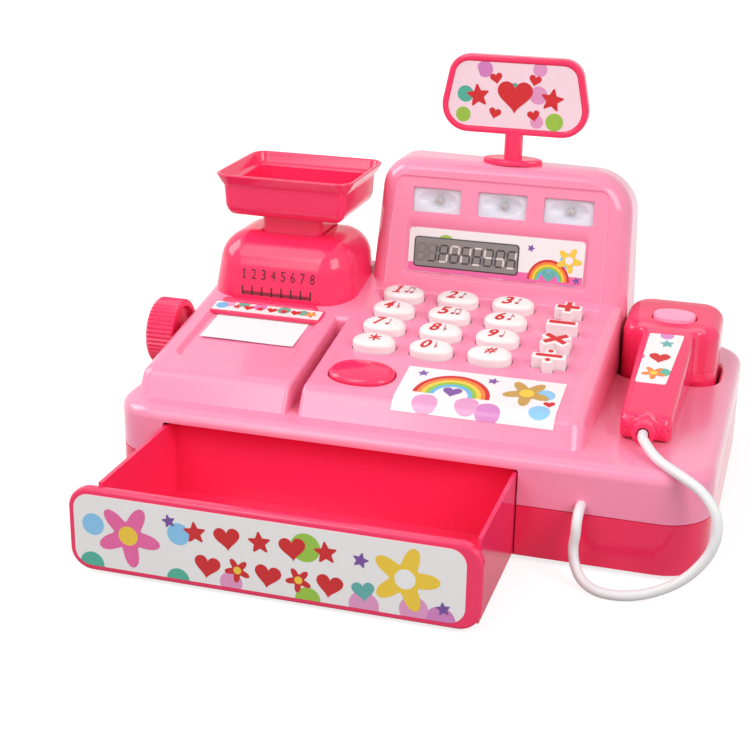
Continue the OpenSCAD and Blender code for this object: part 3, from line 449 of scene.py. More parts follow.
def make(name: str, surface: Surface, closed: bool = True) -> Piece:
    """A mesh object at the origin, with doubled points merged and its faces pointing outwards.

    Args:
        name: The piece's name.
        surface: Its points, in millimetres, and faces.
        closed: Whether the surface bounds a solid, so that outwards has a meaning.

    Returns:
        The new object, linked to the scene.
    """
    mesh = bpy.data.meshes.new(name)
    mesh.from_pydata((surface.points * MM).tolist(), [], surface.faces)
    work = bmesh.new()
    work.from_mesh(mesh)
    if closed:
        bmesh.ops.remove_doubles(work, verts=work.verts, dist=3e-6)
        bmesh.ops.dissolve_degenerate(work, edges=work.edges, dist=1e-6)
        bmesh.ops.recalc_face_normals(work, faces=work.faces)
    work.to_mesh(mesh)
    work.free()
    return added(name, mesh)


def carve(piece: Piece, tool: Surface, way: Carve = Carve.CUT) -> None:
    """Cuts a tool's solid out of a piece, or joins it on, for good.

    Args:
        piece: The solid that changes.
        tool: The tool's closed surface.
        way: Whether it cuts or joins.
    """
    helper = make("tool", tool)
    change = piece.modifiers.new("carve", "BOOLEAN")
    change.object = helper
    change.operation = way.value
    change.solver = "EXACT"
    old = piece.data
    piece.data = worked_out(piece)
    piece.modifiers.clear()
    piece.data.name = piece.name
    bpy.data.objects.remove(helper)
    bpy.data.meshes.remove(old)


def merged(node: str, name: str) -> Piece:
    """A copy of a CAD node whose triangles are joined into whole flat faces.

    Args:
        node: The CAD node.
        name: The copy's name.

    Returns:
        The copy.
    """
    work = bmesh.new()
    work.from_mesh(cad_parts[node].data)
    bmesh.ops.remove_doubles(work, verts=work.verts, dist=5e-6)
    bmesh.ops.dissolve_limit(work, angle_limit=math.radians(0.5), verts=work.verts, edges=work.edges)
    mesh = bpy.data.meshes.new(name)
    work.to_mesh(mesh)
    work.free()
    return added(name, mesh)


def smooth(piece: Piece, sharp: float) -> None:
    """Shades a piece smooth, with large faces kept flat.

    Args:
        piece: The piece.
        sharp: The angle in degrees above which an edge stays sharp.
    """
    mesh = piece.data
    mesh.polygons.foreach_set("use_smooth", np.ones(len(mesh.polygons), bool))
    mesh.set_sharp_from_angle(angle=math.radians(sharp))
    even = piece.modifiers.new("even shading", "WEIGHTED_NORMAL")
    even.keep_sharp = True


def uv_map(piece: Piece, flat: Array, pitch: float) -> None:
    """Gives a piece a UV map.

    Args:
        piece: The piece.
        flat: Each point's place on the flat film.
        pitch: The length that counts as one.
    """
    layer = piece.data.uv_layers.new(name="UVMap")
    corner = np.zeros(len(piece.data.loops), np.int32)
    piece.data.loops.foreach_get("vertex_index", corner)
    layer.data.foreach_set("uv", (flat[corner] / pitch).ravel())


# Finishes

def linear(code: str) -> tuple:
    """A six-digit colour code as the linear colour that the shaders take.

    Args:
        code: The code.

    Returns:
        Red, green, blue and alpha.
    """
    value = np.array([int(code[i:i + 2], 16) for i in (0, 2, 4)]) / 255
    value = np.where(value <= 0.04045, value / 12.92, ((value + 0.055) / 1.055) ** 2.4)
    return (*value.tolist(), 1.0)


class Graph:
    """Adds nodes and links to a node tree."""

    def __init__(self, tree: bpy.types.NodeTree) -> None:
        """Keeps the tree to fill."""
        self.tree = tree

    @classmethod
    def fresh(cls, owner: bpy.types.ID) -> "Graph":
        """The emptied tree of a material or world.

        Args:
            owner: The material or world.

        Returns:
            Its graph.
        """
        owner.use_nodes = True
        owner.node_tree.nodes.clear()
        return cls(owner.node_tree)

    def add(self, kind: str, inputs: dict | None = None, **settings: object) -> bpy.types.Node:
        """A node.

        Args:
            kind: Its type.
            inputs: For each socket, by name or number, its value or the socket that feeds it.
            settings: The node's own settings.

        Returns:
            The node.
        """
        node = self.tree.nodes.new(kind)
        for name, value in settings.items():
            setattr(node, name, value)
        for name, value in (inputs or {}).items():
            if isinstance(value, Socket):
                self.tree.links.new(value, node.inputs[name])
            else:
                node.inputs[name].default_value = value
        return node

    def math(self, operation: str, first: object, second: object) -> Socket:
        """The result of a sum on sockets or numbers."""
        return self.add("ShaderNodeMath", {0: first, 1: second}, operation=operation).outputs[0]

    def mix(self, factor: object, first: object, second: object) -> Socket:
        """A colour between two colours."""
        return self.add("ShaderNodeMix", {0: factor, 6: first, 7: second}, data_type="RGBA").outputs[2]

    def ramp(self, value: Socket, source: tuple, result: tuple) -> Socket:
        """A value carried smoothly from one span to another.

        Args:
            value: What is carried.
            source: Where it starts and ends.
            result: What these become.

        Returns:
            The result.
        """
        spans = {"From Min": source[0], "From Max": source[1], "To Min": result[0], "To Max": result[1]}
        node = self.add("ShaderNodeMapRange", {"Value": value, **spans}, interpolation_type="SMOOTHSTEP")
        return node.outputs[0]

    def seen(self) -> Socket:
        """One for rays of the camera, of reflections and through clear things, nought for the light's own.

        Returns:
            The value.
        """
        ray = self.add("ShaderNodeLightPath").outputs
        reflected = self.math("MAXIMUM", ray["Is Glossy Ray"], ray["Is Transmission Ray"])
        return self.math("MAXIMUM", ray["Is Camera Ray"], reflected)


def group_tree(name: str, inputs: dict, outputs: dict) -> tuple:
    """An empty shader group.

    Args:
        name: The group's name.
        inputs: For each input, its socket's kind and value.
        outputs: For each output, its socket's kind.

    Returns:
        The tree, its graph, and the sockets inside it to build from and to.
    """
    tree = bpy.data.node_groups.new(name, "ShaderNodeTree")
    for label, (kind, value) in inputs.items():
        socket = tree.interface.new_socket(label, in_out="INPUT", socket_type=kind)
        socket.default_value = value
    for label, kind in outputs.items():
        tree.interface.new_socket(label, in_out="OUTPUT", socket_type=kind)
    graph = Graph(tree)
    return tree, graph, graph.add("NodeGroupInput").outputs, graph.add("NodeGroupOutput").inputs


def moulded_group() -> bpy.types.NodeTree:
    """Slow shifts of tone and gloss, and the fine orange peel of a moulding.

    Returns:
        The group, built once.
    """
    if "moulded" in bpy.data.node_groups:
        return bpy.data.node_groups["moulded"]
    tree, graph, give, take = group_tree(
        "moulded",
        {"Colour": ("NodeSocketColor", (1, 1, 1, 1)), "Deep": ("NodeSocketColor", (1, 1, 1, 1)),
         "Gloss": ("NodeSocketFloat", 0.3), "Spread": ("NodeSocketFloat", 0.1)},
        {"Colour": "NodeSocketColor", "Roughness": "NodeSocketFloat", "Height": "NodeSocketFloat"})
    where = graph.add("ShaderNodeTexCoord").outputs["Object"]
    slow = graph.add("ShaderNodeTexNoise", {"Scale": 28.0, "Detail": 3.0, "Vector": where}).outputs[0]
    peel = graph.add("ShaderNodeTexNoise", {"Scale": 650.0, "Detail": 2.0, "Vector": where}).outputs[0]
    link = tree.links.new
    link(graph.mix(slow, give["Colour"], give["Deep"]), take["Colour"])
    shift = graph.math("MULTIPLY", graph.math("SUBTRACT", slow, 0.5), give["Spread"])
    link(graph.math("ADD", give["Gloss"], shift), take["Roughness"])
    link(graph.math("ADD", peel, graph.math("MULTIPLY", slow, 2.0)), take["Height"])
    return tree


def dotted_group() -> bpy.types.NodeTree:
    """Sparse round dots in a jittered grid: the distance to the cell's point against the cell's own radius,
    in the cell's own ink, with a share of the cells left empty.

    Returns:
        The group, built once.
    """
    if "dotted" in bpy.data.node_groups:
        return bpy.data.node_groups["dotted"]
    tree, graph, give, take = group_tree(
        "dotted",
        {"Ground": ("NodeSocketColor", (1, 1, 1, 1)), "Radius": ("NodeSocketFloat", 0.3)},
        {"Colour": "NodeSocketColor"})
    where = graph.add("ShaderNodeUVMap").outputs["UV"]
    cell = graph.add("ShaderNodeTexVoronoi", {"Scale": 1.0, "Randomness": 0.5, "Vector": where},
                     voronoi_dimensions="2D").outputs
    pick = graph.add("ShaderNodeSeparateColor", {"Color": cell["Color"]}).outputs
    size = graph.math("ADD", graph.math("MULTIPLY", pick[2], 0.35), 0.78)
    within = graph.math("SUBTRACT", graph.math("MULTIPLY", give["Radius"], size), cell["Distance"])
    clamp = graph.add("ShaderNodeClamp", {"Value": graph.math("DIVIDE", within, 0.015)}).outputs[0]
    shown = graph.math("MULTIPLY", clamp, graph.math("GREATER_THAN", pick[1], 0.38))
    ramp = graph.add("ShaderNodeValToRGB", {"Fac": pick[0]})
    ramp.color_ramp.interpolation = "CONSTANT"
    inks = ["d683c4", "9bc741", "4fb49c", "8ac8f0", "e59ac6"]
    while len(ramp.color_ramp.elements) < len(inks):
        ramp.color_ramp.elements.new(0.5)
    for index, (stop, ink) in enumerate(zip(ramp.color_ramp.elements, inks)):
        stop.position = 0.1 + 0.8 * index / len(inks)
        stop.color = linear(ink)
    tree.links.new(graph.mix(shown, give["Ground"], ramp.outputs["Color"]), take["Colour"])
    return tree


@dataclass(frozen=True)
class Plastic:
    """A moulded plastic: two close tones, a gloss with its spread, and how much light it lets in."""

    name: str
    colour: str
    deep: str
    gloss: float = 0.28
    spread: float = 0.08
    peel: float = 0.03
    coat: float = 0.0
    alpha: float = 1.0
    metal: float = 0.0
    dots: float = 0.0

    def material(self) -> bpy.types.Material:
        """The finish as a material.

        Returns:
            The material, built once.
        """
        if self.name in bpy.data.materials:
            return bpy.data.materials[self.name]
        material = bpy.data.materials.new(self.name)
        graph = Graph.fresh(material)
        tone = graph.add("ShaderNodeGroup", {"Colour": linear(self.colour), "Deep": linear(self.deep),
                                             "Gloss": self.gloss, "Spread": self.spread},
                         node_tree=moulded_group()).outputs
        peel = {"Strength": self.peel, "Distance": 0.0004, "Height": tone["Height"]}
        normal = graph.add("ShaderNodeBump", peel).outputs["Normal"]
        colour = tone["Colour"]
        if self.dots:
            colour = graph.add("ShaderNodeGroup", {"Radius": self.dots, "Ground": colour},
                               node_tree=dotted_group()).outputs["Colour"]
        shader = graph.add("ShaderNodeBsdfPrincipled", {
            "Base Color": colour, "Roughness": tone["Roughness"], "Normal": normal, "IOR": 1.5,
            "Metallic": self.metal, "Coat Weight": self.coat, "Coat Roughness": 0.08, "Alpha": self.alpha})
        graph.add("ShaderNodeOutputMaterial", {"Surface": shader.outputs[0]})
        return material


LIGHT_PINK = Plastic("light_pink_moulding", "fb94b5", "f98fb1", 0.18, 0.05, 0.02, coat=0.12)
HOT_PINK = Plastic("hot_pink_moulding", "fc3568", "f93164", 0.15, 0.04, 0.02)
DEEP_PINK = Plastic("deep_pink_moulding", "f62a5b", "f22657", 0.16, 0.05, 0.02, coat=0.1)
PALE_PINK = Plastic("pale_pink_moulding", "fda4c4", "fb9ec0", 0.30)
KEY_WHITE = Plastic("key_white_moulding", "f5f0ef", "f2ecea", 0.3)
CORD_WHITE = Plastic("cord_white_sleeve", "e9e8e9", "e4e3e4", 0.4, peel=0.08)
REFLECTOR = Plastic("reflector_white", "e9ebf5", "e2e6f1", 0.2)
DOTTED = Plastic("label_dotted_film", "f4f1f1", "f1edec", 0.18, coat=0.3, dots=0.30)
BLUSH = Plastic("label_blush_film", "fbe2ea", "f8dce5", 0.18, coat=0.3, dots=0.36)
PAPER = Plastic("receipt_paper", "f3f1f2", "efedee", 0.75, peel=0.2)
CLEAR = Plastic("clear_window", "ffffff", "fdfdff", 0.06, 0.02, 0.0, alpha=0.10)
LAMP = Plastic("lamp_lens", "b9b7b4", "a5a3a0", 0.15, coat=0.5)
LCD_GREY = Plastic("lcd_glass", "8b8481", "827b78", 0.16, coat=0.6)
LCD_EDGE = Plastic("lcd_border", "3c3838", "373333", 0.3)
LCD_INK = Plastic("lcd_segment", "3f3a3a", "393434", 0.4)
# Pale LCD segments: a painted highlight, standing in for light reflected off some segments of the figures.
LCD_PAINTED_HIGHLIGHT = Plastic("lcd_segment_painted_highlight", "e9e3df", "ddd7d3", 0.4)
LCD_REST = Plastic("lcd_resting_segment", "797270", "736c6a", 0.3)
RED_INK = Plastic("red_ink", "d5282c", "cd2428", 0.45)
NOTE_INK = Plastic("brown_red_ink", "b4484a", "ab4143", 0.45)
GOLD_INK = Plastic("gold_ink", "c9a04c", "c29845", 0.3, coat=0.3)
TEAL_INK = Plastic("teal_ink", "62b3b0", "5aaba8", 0.3, coat=0.3)
BLACK_INK = Plastic("dark_ink", "4a1626", "421221", 0.5)
PINK_INK = Plastic("pink_ink", "ef6aa8", "ec62a2", 0.3, coat=0.3)
GREEN_INK = Plastic("green_ink", "8fc43a", "88bd34", 0.3, coat=0.3)
BLUE_INK = Plastic("blue_ink", "63b9e6", "5cb2e0", 0.3, coat=0.3)
YELLOW_INK = Plastic("yellow_ink", "f6cf3d", "f3c934", 0.3, coat=0.3)
VIOLET_INK = Plastic("violet_ink", "7c4fa3", "75489c", 0.3, coat=0.3)
ORANGE_INK = Plastic("orange_ink", "f0842c", "ec7d25", 0.3, coat=0.3)
RED_LENS = Plastic("red_lens", "b3121f", "a50e1a", 0.1, coat=0.5)
BLACK = Plastic("black_moulding", "232222", "1d1c1c", 0.4)
SILICONE = Plastic("silicone_grey", "8d8c8e", "858486", 0.55)
BOARD = Plastic("board_green", "1f6b45", "1a623e", 0.4)
STEEL = Plastic("steel", "c9c9cb", "bcbcbf", 0.3, metal=1.0)
CELL = Plastic("cell_wrap", "3d6fb5", "3868ad", 0.3, coat=0.4)
CONE = Plastic("speaker_cone", "3a3838", "302e2e", 0.6)


def dress(piece: Piece, finish: Plastic, body: str, slot: str, nodes: Iterable[str] = (),
          sharp: float = 32.0) -> Piece:
    """Gives a piece its finish and body, and hides the CAD nodes that it stands for.

    Args:
        piece: The finished mesh object.
        finish: Its material's finish; a piece that has materials already keeps them.
        body: The CAD body that it moves with.
        slot: The record's material slot; not used.
        nodes: The CAD nodes that it replaces.
        sharp: The angle above which an edge stays sharp.

    Returns:
        The same piece.
    """
    if not piece.data.materials:
        piece.data.materials.append(finish.material())
    smooth(piece, sharp)
    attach(piece, body)
    if nodes:
        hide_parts(*nodes)
    LOG.info("%s on %s", piece.name, body)
    return piece


def node_finish(node: str, finish: Plastic) -> None:
    """Gives a CAD node that no piece replaces its finish.

    Args:
        node: The CAD node.
        finish: Its finish.
    """
    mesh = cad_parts[node].data
    mesh.materials.clear()
    mesh.materials.append(finish.material())


def printed(name: str, inks: Sequence[tuple], body: str, slot: str) -> Piece:
    """One thin piece of several inks.

    Args:
        name: The piece's name.
        inks: Each ink with its surface, already in place.
        body: The CAD body that it moves with.
        slot: The record's material slot.

    Returns:
        The piece.
    """
    piece = make(name, joined(surface for _, surface in inks), closed=False)
    for finish, _ in inks:
        piece.data.materials.append(finish.material())
    counts = [len(surface.faces) for _, surface in inks]
    piece.data.polygons.foreach_set("material_index", np.repeat(np.arange(len(inks)), counts))
    return dress(piece, inks[0][0], body, slot)


def label(names: tuple, outline: Array, place: Place, pitch: float, spots: Sequence[tuple],
          body: str = "case", finish: Plastic = DOTTED, lift: float = 0.3, ink_lift: float = INK_LIFT,
          under: Sequence[tuple] = ()) -> None:
    """A printed label: a film with its edge turned down, whose UV map counts the dots' spacing, and motifs.

    Args:
        names: The film's name, the motifs' name and the CAD node that the film replaces.
        outline: The film's flat outline.
        place: Puts flat points at a lift off the surface.
        pitch: The spacing of the dots.
        spots: The motifs, as scatter takes them.
        body: The CAD body that the label moves with.
        finish: The printed film.
        lift: How far the film's face stands off.
        ink_lift: How far the motifs stand off the film.
        under: Inks with their surfaces that come before the motifs.
    """
    film = make(names[0], loft(np.stack([place(outline, 0.0), place(outline, lift)])), closed=False)
    uv_map(film, np.vstack([outline, outline]), pitch)
    dress(film, finish, body, "label", [names[2]])
    motifs = scatter(spots, lambda flat, rise: place(flat, rise + lift), ink_lift)
    printed(names[1], [*under, *motifs], body, "label")


# Print motifs, about nought and one unit across

def flower(petals: int = 5) -> Array:
    """A flower: the radius swells and shrinks with the cosine of the petal count times the turn.

    Args:
        petals: The number of petals.

    Returns:
        The outline.
    """
    turn = np.linspace(0, 2 * math.pi, 60, endpoint=False)
    radius = 0.36 + 0.14 * np.cos(petals * turn + QUARTER)
    return np.column_stack([radius * np.cos(turn), radius * np.sin(turn)])


def heart() -> Array:
    """The usual heart curve of cubed sine across and four cosines up.

    Returns:
        The outline.
    """
    turn = np.linspace(0, 2 * math.pi, 60, endpoint=False)
    across = 16 * np.sin(turn) ** 3
    up = 13 * np.cos(turn) - 5 * np.cos(2 * turn) - 2 * np.cos(3 * turn) - np.cos(4 * turn)
    return np.column_stack([across, up])[::-1] / 32


def star(points: int = 5, waist: float = 0.45) -> Array:
    """A star with rounded tips: corners that lie in turn on an outer and an inner circle.

    Args:
        points: The number of tips.
        waist: The inner circle's share of the outer one.

    Returns:
        The outline.
    """
    inner = np.arange(2 * points) % 2
    turn = QUARTER + np.arange(2 * points) * math.pi / points
    radius = np.where(inner, 0.5 * waist, 0.5)
    corners = np.column_stack([radius * np.cos(turn), radius * np.sin(turn)])
    return rounded(corners, np.where(inner, 0.02, 0.04), steps=4)


def disc() -> Array:
    """A circle one unit across."""
    return oval(1, 1, 40)


def arc_band(inner: float, outer: float, start: float, end: float) -> Array:
    """A part of a ring, anticlockwise.

    Args:
        inner: Its inner radius.
        outer: Its outer radius.
        start: The angle in degrees where it starts.
        end: The angle where it ends.

    Returns:
        The outline.
    """
    turn = np.radians(np.linspace(start, end, 25))
    arc = np.column_stack([np.cos(turn), np.sin(turn)])
    return np.vstack([arc * outer, arc[::-1] * inner])


def note(kind: int) -> Surface:
    """A music sign.

    Args:
        kind: Two beamed notes, a note with a flag, a plain note or a flat, by its number.

    Returns:
        Its flat faces.
    """
    head = oval(0.42, 0.3, 20) + [-0.12, -0.38]
    stem = rectangle(0.03, 0.11, -0.38, 0.5)
    apart = [0.55, 0.0]
    beamed = [head, stem, head + apart, stem + apart, rectangle(0.03, 0.66, 0.34, 0.5)]
    flag = np.array([(0.11, 0.3), (0.34, 0.0), (0.36, 0.12), (0.24, 0.34), (0.11, 0.5)])
    flat = [rectangle(-0.14, -0.06, -0.46, 0.5), arc_band(0.12, 0.24, -100, 100) + [-0.1, -0.22]]
    return joined(flat_print(outline) for outline in (beamed, [head, stem, flag], [head, stem], flat)[kind])


def motif(outline: Array, at: tuple, size: float, place: Place, lift: float, turn: float = 0.0) -> Surface:
    """A motif laid at a flat spot.

    Args:
        outline: Its outline, about nought and one unit across.
        at: The spot.
        size: How large it becomes.
        place: Puts flat points at a lift off the surface.
        lift: How far it stands off.
        turn: How far it is turned, in degrees.

    Returns:
        Its face.
    """
    angle = math.radians(turn)
    spin = np.array([(math.cos(angle), math.sin(angle)), (-math.sin(angle), math.cos(angle))])
    return patch(place(outline * size @ spin + np.asarray(at, float), lift))


def scatter(spots: Sequence[tuple], place: Place, lift: float) -> list:
    """Motifs with their inks.

    Args:
        spots: For each motif its kind, ink, place across and up, size and turn.
        place: Puts flat points at a lift off the surface.
        lift: How far the print stands off.

    Returns:
        Each ink with its surface.
    """
    shapes = {"flower": flower(), "heart": heart(), "star": star(), "disc": disc()}
    bands = (BLUE_INK, GREEN_INK, YELLOW_INK, ORANGE_INK, RED_INK)
    found = {}

    def put(ink: Plastic, outline: Array, spot: Sequence[float], rise: float) -> None:
        """Adds a motif to its ink's surfaces."""
        x, up, size, turn = spot
        found.setdefault(ink, []).append(motif(outline, (x, up), size, place, lift + rise, turn))

    for kind, ink, *spot in spots:
        if kind == "rainbow":
            for step, band in enumerate(bands):
                put(band, arc_band(0.22 + 0.056 * step, 0.276 + 0.056 * step, 0, 180), spot, 0.0)
            continue
        put(ink, shapes[kind], spot, 0.02)
        if kind == "flower":
            put(PAPER if ink is YELLOW_INK else YELLOW_INK, disc() * 0.3, spot, 0.05)
    return [(ink, joined(parts)) for ink, parts in found.items()]


# The camera and the cord come first

@dataclass
class Studio:
    """The camera, the lamps, the white surround and the floor."""

    lens: float = 72.74
    turn: float = 16.37
    rise: float = 20.40
    roll: float = 1.01
    distance: float = 837.96
    target: tuple = (-36.88, -14.0, 53.59)
    lamp_aim: tuple = (0, 0, 0.08)
    lamps: tuple = (("right lamp", (0.95, -0.75, 0.85), (0.7, 0.9), 10.0),
                    ("left lamp", (-1.2, -0.1, 0.9), (0.7, 0.9), 10.4),
                    ("front lamp", (-0.5, -0.85, 1.35), (0.8, 1.0), 5.2),
                    ("strip lamp", (-0.42, -1.02, 0.72), (0.24, 0.9), 1.7))
    fill: float = 0.38
    floor_tone: float = 0.38
    floor_half: float = 4000.0

    def camera(self) -> None:
        """Sets the camera at the photograph's viewing angle."""
        turn, rise, roll = (math.radians(a) for a in (self.turn, self.rise, self.roll))
        back = Vector((math.sin(turn) * math.cos(rise), -math.cos(turn) * math.cos(rise), math.sin(rise)))
        right = Vector((math.cos(turn), math.sin(turn), 0))
        up = back.cross(right)
        across = math.cos(roll) * right + math.sin(roll) * up
        upward = math.cos(roll) * up - math.sin(roll) * right
        lens = bpy.data.cameras.new("camera")
        lens.lens = self.lens
        lens.sensor_width = 36
        lens.clip_start = 0.01
        camera = added("camera", lens)
        place = (Vector(self.target) + back * self.distance) * MM
        camera.matrix_world = Matrix.Translation(place) @ Matrix((across, upward, back)).transposed().to_4x4()
        bpy.context.scene.camera = camera

    def lamp(self, name: str, at: tuple, size: tuple, power: float) -> None:
        """A soft oblong lamp that faces the object.

        Args:
            name: Its name.
            at: Where it hangs, in metres.
            size: Its width and height.
            power: Its power in watts.
        """
        light = bpy.data.lights.new(name, "AREA")
        light.shape = "RECTANGLE"
        light.size, light.size_y = size
        light.energy = power
        holder = added(name, light)
        holder.location = at
        holder.rotation_euler = (Vector(self.lamp_aim) - Vector(at)).to_track_quat("-Z", "Y").to_euler()

    def light(self) -> None:
        """Lamps on three sides, a strip that draws the highlights, and an even surround."""
        for lamp in self.lamps:
            self.lamp(*lamp)
        world = bpy.data.worlds.new("surround")
        bpy.context.scene.world = world
        graph = Graph.fresh(world)
        strength = graph.math("MAXIMUM", graph.seen(), self.fill)
        shine = graph.add("ShaderNodeBackground", {"Color": (1, 1, 1, 1), "Strength": strength})
        graph.add("ShaderNodeOutputWorld", {"Surface": shine.outputs[0]})

    def floor(self) -> None:
        """A pale floor that keeps the object's shadow, and turns white away from it."""
        sides = [-self.floor_half, self.floor_half]
        piece = make("floor", sheet(np.stack(np.meshgrid(sides, sides, [0.0]), -1)[:, :, 0]), closed=False)
        material = bpy.data.materials.new("floor_white")
        graph = Graph.fresh(material)
        matt = graph.add("ShaderNodeBsdfDiffuse", {"Color": (*[self.floor_tone] * 3, 1)})
        where = graph.add("ShaderNodeTexCoord").outputs["Object"]
        away = graph.add("ShaderNodeVectorMath", {"Vector": where}, operation="LENGTH").outputs["Value"]
        far = graph.ramp(away, (0.3, 0.9), (0.77, 1.0))
        back = graph.add("ShaderNodeSeparateXYZ", {"Vector": where}).outputs["Y"]
        dim = graph.ramp(back, (-0.15, 0.0), (0.75, 0.0))
        glossy = graph.add("ShaderNodeLightPath").outputs["Is Glossy Ray"]
        share = graph.math("SUBTRACT", 1.0, graph.math("MULTIPLY", glossy, dim))
        strength = graph.math("MULTIPLY", graph.math("MULTIPLY", graph.seen(), far), share)
        glow = graph.add("ShaderNodeEmission", {"Color": (1, 1, 1, 1), "Strength": strength})
        both = graph.add("ShaderNodeAddShader", {0: matt.outputs[0], 1: glow.outputs[0]})
        graph.add("ShaderNodeOutputMaterial", {"Surface": both.outputs[0]})
        piece.data.materials.append(material)

    def build(self) -> None:
        """Makes everything around the object."""
        bpy.context.scene.view_settings.view_transform = "Standard"
        self.camera()
        self.light()
        self.floor()


@dataclass
class Cord:
    """The white cord from the scanner's tail to the case's front."""

    diameter: float = 5.0
    route: tuple = (
        (117.5, -73, 62.5), (118.1, -78, 62.1), (120.7, -83, 61.0), (124.4, -88.5, 59.2), (129.0, -94, 57.9),
        (134.8, -100, 57.2), (141.4, -106, 56.3), (150, -112, 53.5), (156, -116.5, 48.5), (159, -119, 42),
        (159, -121, 33.5), (155, -122.5, 23.5), (146, -124.5, 13), (133, -126.5, 5.5), (120, -129, 2.8),
        (108, -128.5, 2.8), (99.5, -124, 5.2), (95, -119.5, 11), (93.5, -117, 18), (94, -116.5, 24.5),
        (94, -115.7, 28.3), (94, -113.6, 31.6), (94, -110.3, 33.7), (94, -106.5, 34.5), (94, -104, 34.5))

    def line(self, steps: int = 8) -> Array:
        """The route as a Catmull-Rom curve: each stretch is a cubic through its two points, whose slopes
        are half the step between the points on either side.

        Args:
            steps: The number of steps in each stretch.

        Returns:
            The curve's points.
        """
        points = np.array(self.route, float)
        padded = np.vstack([2 * points[0] - points[1], points, 2 * points[-1] - points[-2]])
        before, start, end, after = padded[:-3], padded[1:-2], padded[2:-1], padded[3:]
        t = np.linspace(0, 1, steps, endpoint=False)[None, :, None]
        b, s, e, a = (p[:, None] for p in (before, start, end, after))
        square, cube = 2 * b - 5 * s + 4 * e - a, 3 * s - b - 3 * e + a
        curve = 0.5 * (2 * s + (e - b) * t + square * t ** 2 + cube * t ** 3)
        return np.vstack([curve.reshape(-1, 3), points[-1]])

    def build(self) -> None:
        """Sweeps the sleeve along the route, from the scanner's gland to the case's front."""
        line = self.line() * MM
        curve = bpy.data.curves.new("cord", "CURVE")
        curve.dimensions = "3D"
        curve.bevel_depth = self.diameter / 2 * MM
        curve.bevel_resolution = 5
        curve.use_fill_caps = True
        spline = curve.splines.new("POLY")
        spline.points.add(len(line) - 1)
        spline.points.foreach_set("co", level(line, 1.0).ravel())
        holder = added("cord_curve", curve)
        mesh = worked_out(holder)
        bpy.data.objects.remove(holder)
        piece = added("cord_sleeve", mesh)
        piece.data.materials.clear()
        piece.data.materials.append(CORD_WHITE.material())
        smooth(piece, 50)
        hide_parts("cord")
        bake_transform(piece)


# The case

CONSOLE = Slant(-80.2, 68.3, 10.0)
FACE = Slant(43.3, 90.076, 80.0)
SCANNER_HEAD = (91.5, 144.0, 24.5, 70.5)
HEAD_CORNER = 13.0
BAY_GAP = 1.6


